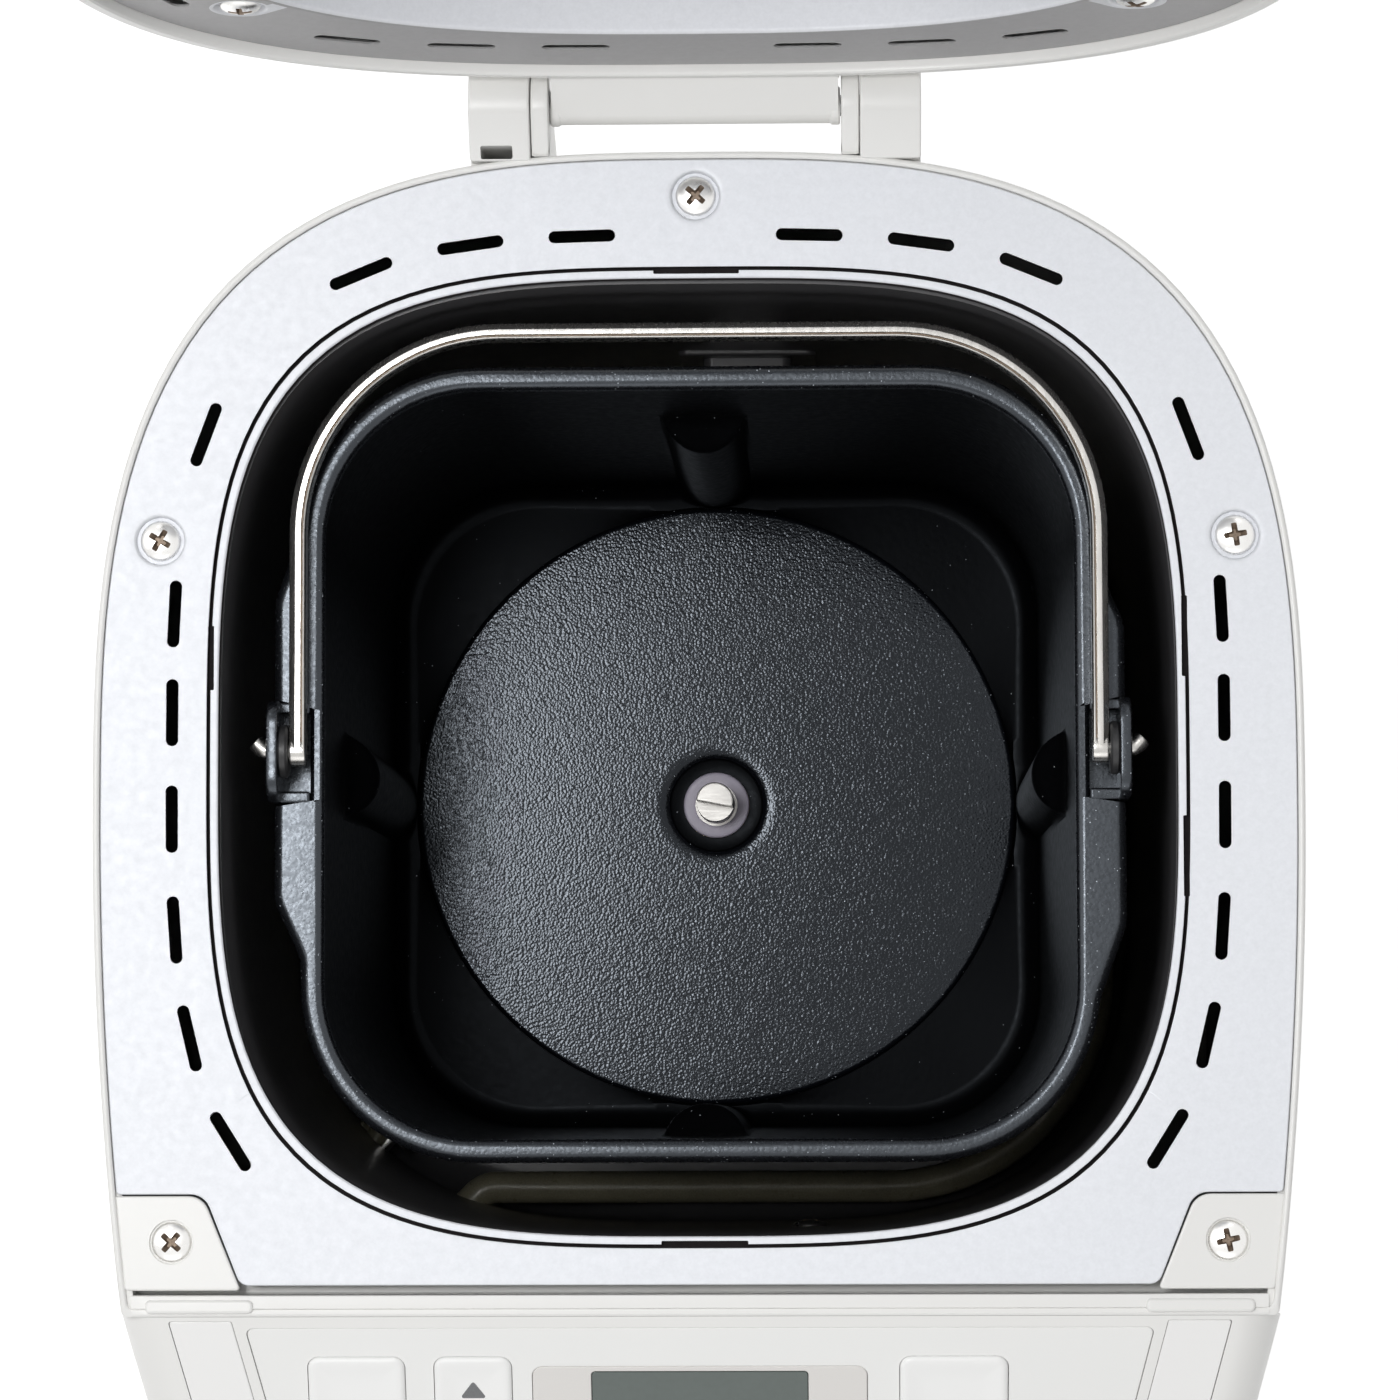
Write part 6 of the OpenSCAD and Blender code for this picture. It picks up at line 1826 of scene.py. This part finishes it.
@dataclass
class PanHandle:
    """Handle of the pan: a grooved steel strap with bent pins, and a disc on each pin."""

    sweeper: Sweeper
    half: float = 75.3
    reach_: float = 79.0
    corner_r: float = 38.0
    strap_t: float = 3.1
    strap_w: float = 5.6
    pin_r: float = 1.7
    pivot_y: float = 2.0
    disc_t: float = 1.8
    groove_in: float = 0.72

    def aside(self, x: float, y: float) -> float:
        """Distance of a point from the strap's middle line, outwards."""
        leg, corner = self.pivot_y + self.reach_ - self.corner_r, self.half - self.corner_r
        if y < leg:
            return abs(x) - self.half
        if abs(x) > corner:
            return math.hypot(abs(x) - corner, y - leg) - self.corner_r
        return y - leg - self.corner_r

    def section(self) -> Ring:
        """Section of the strap: a sloping outer edge, a flat crown, a groove and a lower inner edge."""
        t, w, groove = self.strap_t / 2, self.strap_w / 2, self.groove_in
        upper = [(t, w - 1.1), (t - 0.1, w - 0.85), (t - 1.1, w - 0.06), (t - 1.3, w), (0.12 - groove, w),
                 (0.04 - groove, w - 0.1), (-groove, w - 0.6), (-groove - 0.2, w - 0.6),
                 (-groove - 0.3, w - 0.2), (-groove - 0.4, w - 0.15), (0.2 - t, w - 0.3), (-t, w - 0.7)]
        whole = upper + [(-t, 0.7 - w), (0.7 - t, -w), (t - 0.7, -w), (t, 0.7 - w)]
        return np.array(whole[::-1]) * [1, -1]

    def path(self) -> Points:
        """Middle line of the strap from its right end round the back to its left end."""
        z, leg = DATUM.rim_z + 3.4, self.reach_ - self.corner_r
        right = [(self.half, self.pivot_y + y) for y in (0.5, leg * 0.5, leg)]
        right += arc_points((self.half - self.corner_r, self.pivot_y + leg), self.corner_r, 0, 90, 22)[1:]
        points = right + [(-x, y) for x, y in right[::-1]]
        return [(x, y, z) for x, y in points]

    def build(self) -> None:
        """Builds and dresses the handle."""
        z = DATUM.rim_z + 3.4
        made = self.sweeper.make("carry_strap", self.path(), self.section(), PALETTE.strap)
        strap = Piece("carry_strap", made)
        # Faces in the strap's groove take the dark recess finish: painted shade.
        made.materials.append(PALETTE.recess)
        strap.mark(lambda spot, _: 0.5 < spot.z - z < self.strap_w / 2 - 0.2 and
                   abs(self.aside(spot.x, spot.y) + self.groove_in + 0.1) < 0.19)
        r, t = self.strap_w / 2, self.strap_t / 2
        eye = Shape().turned([(0, -t), (r - 0.5, -t), (r - 0.1, -t + 0.15), (r, -t + 0.5), (r, t - 0.5),
                              (r - 0.1, t - 0.15), (r - 0.5, t), (0, t)], 32)
        ends = Shape().add(eye, by(self.half, self.pivot_y, z) @ ACROSS)
        strap.combine(ends.pair(), "UNION")
        strap.done([PALETTE.strap, PALETTE.recess], Body.HANDLE, Slot.STAINLESS, "handle_strap")
        bend = [(self.half, 0), (80.6, 0), (81.4, 0.12), (82.0, 0.5), (82.6, 1.05), (83.3, 1.75)]
        path = [(x, self.pivot_y + y, z) for x, y in bend]
        for name, points in (("right_pin", path), ("left_pin", [(-x, y, h) for x, y, h in path][::-1])):
            pin = self.sweeper.make(name, points, circle(self.pin_r - 0.05, 16), PALETTE.strap)
            Piece(name, pin).soften(0.3, 50).done(PALETTE.strap, Body.HANDLE, Slot.STAINLESS)
        rim, inner = 5.0, self.pin_r + 0.02
        disc = Shape().turned([(inner, 0), (rim - 0.4, 0), (rim, 0.4), (rim, self.disc_t - 0.4),
                               (rim - 0.4, self.disc_t), (3.4, self.disc_t), (3.1, self.disc_t - 0.3),
                               (2.6, self.disc_t - 0.3), (2.3, self.disc_t), (inner, self.disc_t)], 40,
                              wrap=True)
        place = by(self.half + t + 0.15, self.pivot_y, z) @ ACROSS
        Piece("pin_washers", disc.moved(place).pair()).done(PALETTE.black, Body.HANDLE, Slot.BLACK,
                                                            "handle_discs")


# ---- Lid and hinge ----


@dataclass
class Lid:
    """Lid cover and its liner, built closed and then opened about the hinge."""

    deck: Deck
    screws: Repeater
    cutter: Repeater
    gap: float = 0.7
    height: float = 50.0
    side_h: float = 26.0
    edge_w: float = 30.0
    wall: float = 2.4
    corner_r: float = 14.0
    recess: float = 2.0
    dome: float = 15.0
    power: float = 2.7
    sheet: float = 0.8

    def opened(self) -> Matrix:
        """Turn that opens the lid as far as the frame has it."""
        return turned_about("X", -DATUM.lid_open, (0, DATUM.hinge_y, DATUM.hinge_z))

    def outline(self, drawn: float) -> Ring:
        """Plan of the lid, drawn in."""
        return PLAN.outline(drawn, DATUM.front_line - drawn, self.corner_r)

    def cover(self) -> Shape:
        """Cover: a crowned shell with a rounded edge round its mouth."""
        low, side, edge = DATUM.rim_top + self.gap, self.side_h, self.edge_w
        crown = self.height - side
        outer = [(0.3, low + 0.05), (0.08, low + 0.3), (0.0, low + 0.8), (0, low + side * 0.5)]
        outer += [(edge * c, low + side + (crown - 1.6) * (1 - s)) for c, s in quarter(15)]
        outer += [(edge + d, low + self.height - 1.6 * (1 - d / 70) ** 2) for d in (12, 26, 40)]
        inner = [(self.wall, low + 0.9), (self.wall - 0.12, low + 0.35), (self.wall - 0.45, low + 0.02)]
        deep = [(self.wall + (edge - self.wall) * c, low + side + (crown - self.wall - 1.6) * (1 - s))
                for c, s in quarter(15)]
        profile = deep[::-1] + [(self.wall, low + side * 0.5)] + inner + outer
        rings = [level(self.outline(i), z) for i, z in profile]
        middle = rings[-1][:, :2]
        rings += [level(middle * share, low + self.height - sunk) for share,
                  sunk in ((0.66, 0.13), (0.33, 0.03))]
        return Shape().loft(rings)

    def liner(self, z: float) -> Shape:
        """Liner: a flat flange that turns into a shallow well."""
        outer = self.outline(self.wall + 0.15)
        angles = np.arctan2(outer[:, 1], outer[:, 0])

        def well(grow: float) -> Ring:
            """Outline of the well made wider by grow."""
            return polar(super_reach(DATUM.chamber_half + grow, self.power, angles), angles)

        deep, t = self.dome, self.sheet
        rings = [(outer, z + t), (outer, z + 0.2), (inset(outer, 0.2), z), (well(6), z)]
        rings += [(well(s - t), z + c) for c, s in quarter(6)]
        rings += [(well(-t - 5 * c), z + deep - t - 5 * s) for c, s in quarter(7)]
        rings += [(well(-t - 26), z + deep - t), (well(-t - 28), z + deep - t - 0.9),
                  (well(-t - 30), z + deep - t - 0.9)]
        return Shape().loft([level(o, h) for o, h in rings], caps=(False, True))

    def build(self) -> None:
        """Builds and dresses the lid."""
        place, low = self.opened(), DATUM.rim_top + self.gap
        cover = Piece("lid_shell", self.cover().moved(place))
        cover.done(PALETTE.shell, Body.LID, Slot.WHITE, "lid_cover")
        z = low + self.recess
        blank = Piece("liner_blank", self.liner(z).moved(place)).wall(self.sheet * 0.5)
        screws = [(x, y) for x, y in ((79.6, DATUM.back - 45.2), (-79.6, DATUM.back - 45.2),
                                      (91.0, 15.3 - DATUM.front_line), (-91.0, 15.3 - DATUM.front_line))]
        for x, y in screws:
            hole = Shape().block(circle(5.5, 40), z - 2, z + 3, 0)
            blank.combine(hole.moved(place @ by(x, y, 0)))
        made = self.cutter.make("lid_liner_sheet", self.deck.slot_tool(1.0), self.deck.slots(z),
                                PALETTE.liner,
                                place=place, body=blank.item)
        bpy.data.objects.remove(blank.item)
        liner = Piece("lid_liner_sheet", made)
        for x, y in screws:
            liner.combine(self.deck.cup(-0.002).moved(place @ by(x, y, z) @ FLIPPED), "UNION")
        shut = place.inverted()

        def flat(spot: Vector, _: Vector) -> bool:
            """Whether a spot lies on the flange, clear of the screw cups."""
            spot = shut @ spot
            return spot.z < z + 0.3 and all(math.dist(spot.xy, screw) > 5.4 for screw in screws)

        # Flange faces take the darker flange finish: painted shade on the same liner sheet.
        liner.mark(flat)
        liner.done([PALETTE.liner, PALETTE.flange], Body.LID, Slot.DECK, "lid_liner")
        spots = [Spot((x, y, z + self.deck.dimple), (0, 0, -1)) for x, y in screws]
        PanScrew().set(self.screws, "lid_fasteners", spots, 9, Body.LID, "lid_screws", place)


@dataclass
class Hinge:
    """Hinge bar with its ribs on the lid, and the two pins in it."""

    lid: Lid
    half: float = 27.2
    bar_r: float = 3.3
    pin_r: float = 2.0
    plate_h: float = 14.0

    def build(self) -> None:
        """Builds and dresses the hinge."""
        y, z, place = DATUM.hinge_y, DATUM.hinge_z, self.lid.opened()
        low, back = DATUM.rim_top + self.lid.gap, DATUM.back
        across = by(0, y, z) @ ACROSS
        end, r = self.half - 0.08, self.bar_r
        rod = [(0, -end), (r, -end), (r + 0.3, -end + 0.3), (r + 0.3, -end + 1.4), (r + 0.2, -end + 1.7),
               (r, -end + 1.9)]
        rod += [(a, -b) for a, b in rod[::-1]]
        bar = Piece("lid_hinge_bar", Shape().turned(rod, 40).moved(across))
        web = Shape()
        plate = rounded([(back + 2.4, low + 0.3), (back + 2.4, low + self.plate_h),
                         (back + 0.05, low + self.plate_h + 0.6), (back + 0.05, low + 0.3)],
                        [0.8, 1.2, 0.2, 0.2], 4)[::-1]
        wide = self.half - 0.2
        web.loft([standing(plate, x) for x in (-wide, wide)])
        rib = [(back + 0.3, low + self.plate_h - 0.4), (back + 0.3, low + 0.4), (y - 1.2, z - 1.8),
               (y + 1.6, z + 2.2)]
        for x in (-0.7, 0.0, 0.7):
            web.loft([standing(rib, x * self.half + d) for d in (-0.9, 0.9)])
        fillet = [(back + 0.3, low + 5), (back + 0.3, low + 0.4), (y - 2.5, z - 2.4), (y + 1.0, z + 2.6)]
        web.loft([standing(fillet, x) for x in (-wide + 0.2, wide - 0.2)])
        bar.combine(web.moved(place), "UNION", overlaps=True)
        bore = Shape().turned([(0, -50), (self.pin_r + 0.02, -50), (self.pin_r + 0.02, 50), (0, 50)], 24)
        bar.combine(bore.moved(across))
        bar.done(PALETTE.shell, Body.LID, Slot.WHITE, "hinge_bar")
        pins, p = Shape(), self.pin_r
        for middle in (self.half + 1.5, -self.half - 1.5):
            length = 11.5
            profile = [(0, -length), (p - 0.3, -length), (p, -length + 0.4), (p, length - 0.4),
                       (p - 0.3, length), (0, length)]
            pins.add(Shape().turned(profile, 24), by(middle, 0, 0) @ across)
        Piece("lid_pivot_pins", pins).done(PALETTE.steel, Body.LID, Slot.STEEL, "hinge_pins")


# ---- Under the deck ----


@dataclass
class Chassis:
    """Feet and screws of the base, and the finishes of the parts inside."""

    screws: Repeater
    foot_r: float = 9.0

    def feet_places(self) -> Points:
        """Places of the six feet, read from the frame's corners."""
        back, front = DATUM.back, DATUM.front_reach
        rows = ((DATUM.half_w - 26.5, -70.0), (DATUM.half_w - 42.5, back - 42),
                (DATUM.half_w - 54.5, 25 - front))
        return [(s * x, y) for x, y in rows for s in (-1, 1)]

    def foot(self) -> Shape:
        """Foot with a rounded tread and a groove round it."""
        high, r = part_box("feet")[1].z / MM, self.foot_r
        return Shape().turned([(0, 0.5), (r * 0.55, 0.5), (r * 0.6, 0.0), (r * 0.86, 0.0), (r * 0.96, 0.2),
                               (r, 0.7), (r, high * 0.55), (r * 0.96, high * 0.6), (r * 0.96, high * 0.72),
                               (r, high * 0.77), (r, high), (0, high)], 40)

    def build(self) -> None:
        """Builds the feet and dresses the base screws and the parts inside."""
        feet = Shape()
        for x, y in self.feet_places():
            feet.add(self.foot(), by(x, y, 0))
        Piece("tread_feet", feet).done(PALETTE.rubber, Body.BASE, Slot.RUBBER, "feet")
        inside = {
            PALETTE.shell: ("base_tray",),
            PALETTE.board: ("display_module", "control_board", "power_board"),
            PALETTE.steel: ("heater_flange", "drive_frame", "stator_core", "drive_shaft", "pulley_nut",
                            "rotor", "motor_shaft", "motor_pulley"),
            PALETTE.screw: ("chassis_screws", "motor_bolts"),
            PALETTE.cast: ("bearing_housing", "motor_bells", "drive_coupling", "pan_wing"),
            PALETTE.bronze: ("drive_bush", "pan_bush"),
            PALETTE.copper: ("stator_coils",),
            PALETTE.black: ("run_capacitor",),
            PALETTE.rubber: ("drive_belt",),
            PALETTE.pulley: ("drive_pulley",),
        }
        for material, nodes in inside.items():
            for node in nodes:
                item = frame["nodes"][node]
                item.data.materials.clear()
                item.data.materials.append(material)
                LOG.info("%s: carried over in %s", node, material.name)


# ---- Studio ----


@dataclass
class Studio:
    """Floor, soft lamps and camera."""

    height: float = 990.0
    lens: float = 137.7
    camera_xy: tuple[float, float] = (26.6, -67.7)
    target_xy: tuple[float, float] = (0.6, 10.4)
    roll: float = -0.17
    world_level: float = 0.44
    glow: float = 0.55

    def floor(self) -> None:
        """Pale floor that looks white to the camera and keeps the shadow."""
        size = 6.0
        data = bpy.data.meshes.new("studio_floor")
        data.from_pydata([(-size, -size, 0), (size, -size, 0), (size, size, 0), (-size, size, 0)], [],
                         [(0, 1, 2, 3)])
        item = linked("studio_floor", data)
        material = bpy.data.materials.new("studio_floor")
        graph = Graph(material)
        at = graph.place()
        tone = graph.blend(graph.noise(at, 300, 2), (0.9, 0.9, 0.9, 1), (0.93, 0.93, 0.93, 1))
        matt = graph.add("ShaderNodeBsdfDiffuse", {"Color": tone})
        glow = graph.add("ShaderNodeEmission", {"Color": WHITE, "Strength": self.glow})
        both = graph.add("ShaderNodeAddShader", {0: matt.outputs[0], 1: glow.outputs[0]})
        mix = graph.add("ShaderNodeMixShader", {0: graph.seen(), 1: matt.outputs[0], 2: both.outputs[0]})
        graph.close(mix.outputs[0])
        item.data.materials.append(material)

    def lamp(self, name: str, spot: Sequence[float], size: Sequence[float], power: float) -> None:
        """Adds a soft rectangular lamp that faces the machine.

        Args:
            name: Name of the lamp.
            spot: Where it is, in metres.
            size: Its width and height in metres.
            power: Its power in watts.
        """
        data = bpy.data.lights.new(name, "AREA")
        data.shape, data.size, data.size_y, data.energy = "RECTANGLE", size[0], size[1], power
        item = linked(name, data)
        item.location = spot
        item.rotation_euler = (Vector((0, 0, 0.15)) - Vector(spot)).to_track_quat("-Z", "Y").to_euler()

    def world(self) -> None:
        """Even white surroundings at a plain level."""
        world = bpy.data.worlds.new("studio")
        bpy.context.scene.world = world
        graph = Graph(world, "ShaderNodeOutputWorld")
        dim, white = (graph.add("ShaderNodeBackground", {0: WHITE, 1: v}) for v in (self.world_level, 1.0))
        mix = graph.add("ShaderNodeMixShader", {0: graph.seen(), 1: dim.outputs[0], 2: white.outputs[0]})
        graph.close(mix.outputs[0])

    def camera(self) -> None:
        """Camera almost straight above the deck."""
        data = bpy.data.cameras.new("camera")
        data.lens, data.sensor_width, data.clip_start, data.clip_end = self.lens, 36.0, 0.05, 50.0
        item = linked("camera", data)
        spot = in_frame((*self.camera_xy, DATUM.deck_z + self.height))
        target = in_frame((*self.target_xy, DATUM.deck_z))
        back = (spot - target).normalized()
        right = Vector((0, 1, 0)).cross(back).normalized()
        up = back.cross(right)
        turn = Matrix((right, up, back)).transposed().to_4x4()
        roll = Matrix.Rotation(math.radians(self.roll), 4, "Z")
        item.matrix_world = Matrix.Translation(spot) @ turn @ roll
        bpy.context.scene.camera = item

    def build(self) -> None:
        """Sets up the studio."""
        self.floor()
        self.world()
        self.lamp("left_softbox", (-1.6, 0.4, 1.5), (1.4, 1.2), 4)
        self.lamp("front_softbox", (-0.1, -1.9, 1.3), (1.8, 1.0), 5.4)
        self.lamp("back_softbox", (0.1, 2.0, 1.8), (1.6, 0.9), 3.8)
        self.lamp("top_softbox", (-0.27, 0.09, 1.3), (0.3, 0.26), 4.8)
        self.camera()
        bpy.context.scene.view_settings.view_transform = "Standard"


def main() -> None:
    """Builds every part of the machine in order."""
    logging.basicConfig(level=logging.INFO, format="%(name)s %(message)s")
    repeater, cutter, sweeper = Repeater(), Repeater(cut=True), Sweeper()
    housing, front = Housing(), FrontHousing()
    deck = Deck(housing, repeater, cutter)
    lid = Lid(deck, repeater, cutter)
    parts = [housing, front, ControlPanel(front), deck, Oven(deck, repeater, sweeper), BreadPan(),
             PanHandle(sweeper), lid, Hinge(lid), Chassis(repeater), Studio()]
    for part in parts:
        LOG.info("building %s", type(part).__name__)
        part.build()


if __name__ == "__main__":
    main()
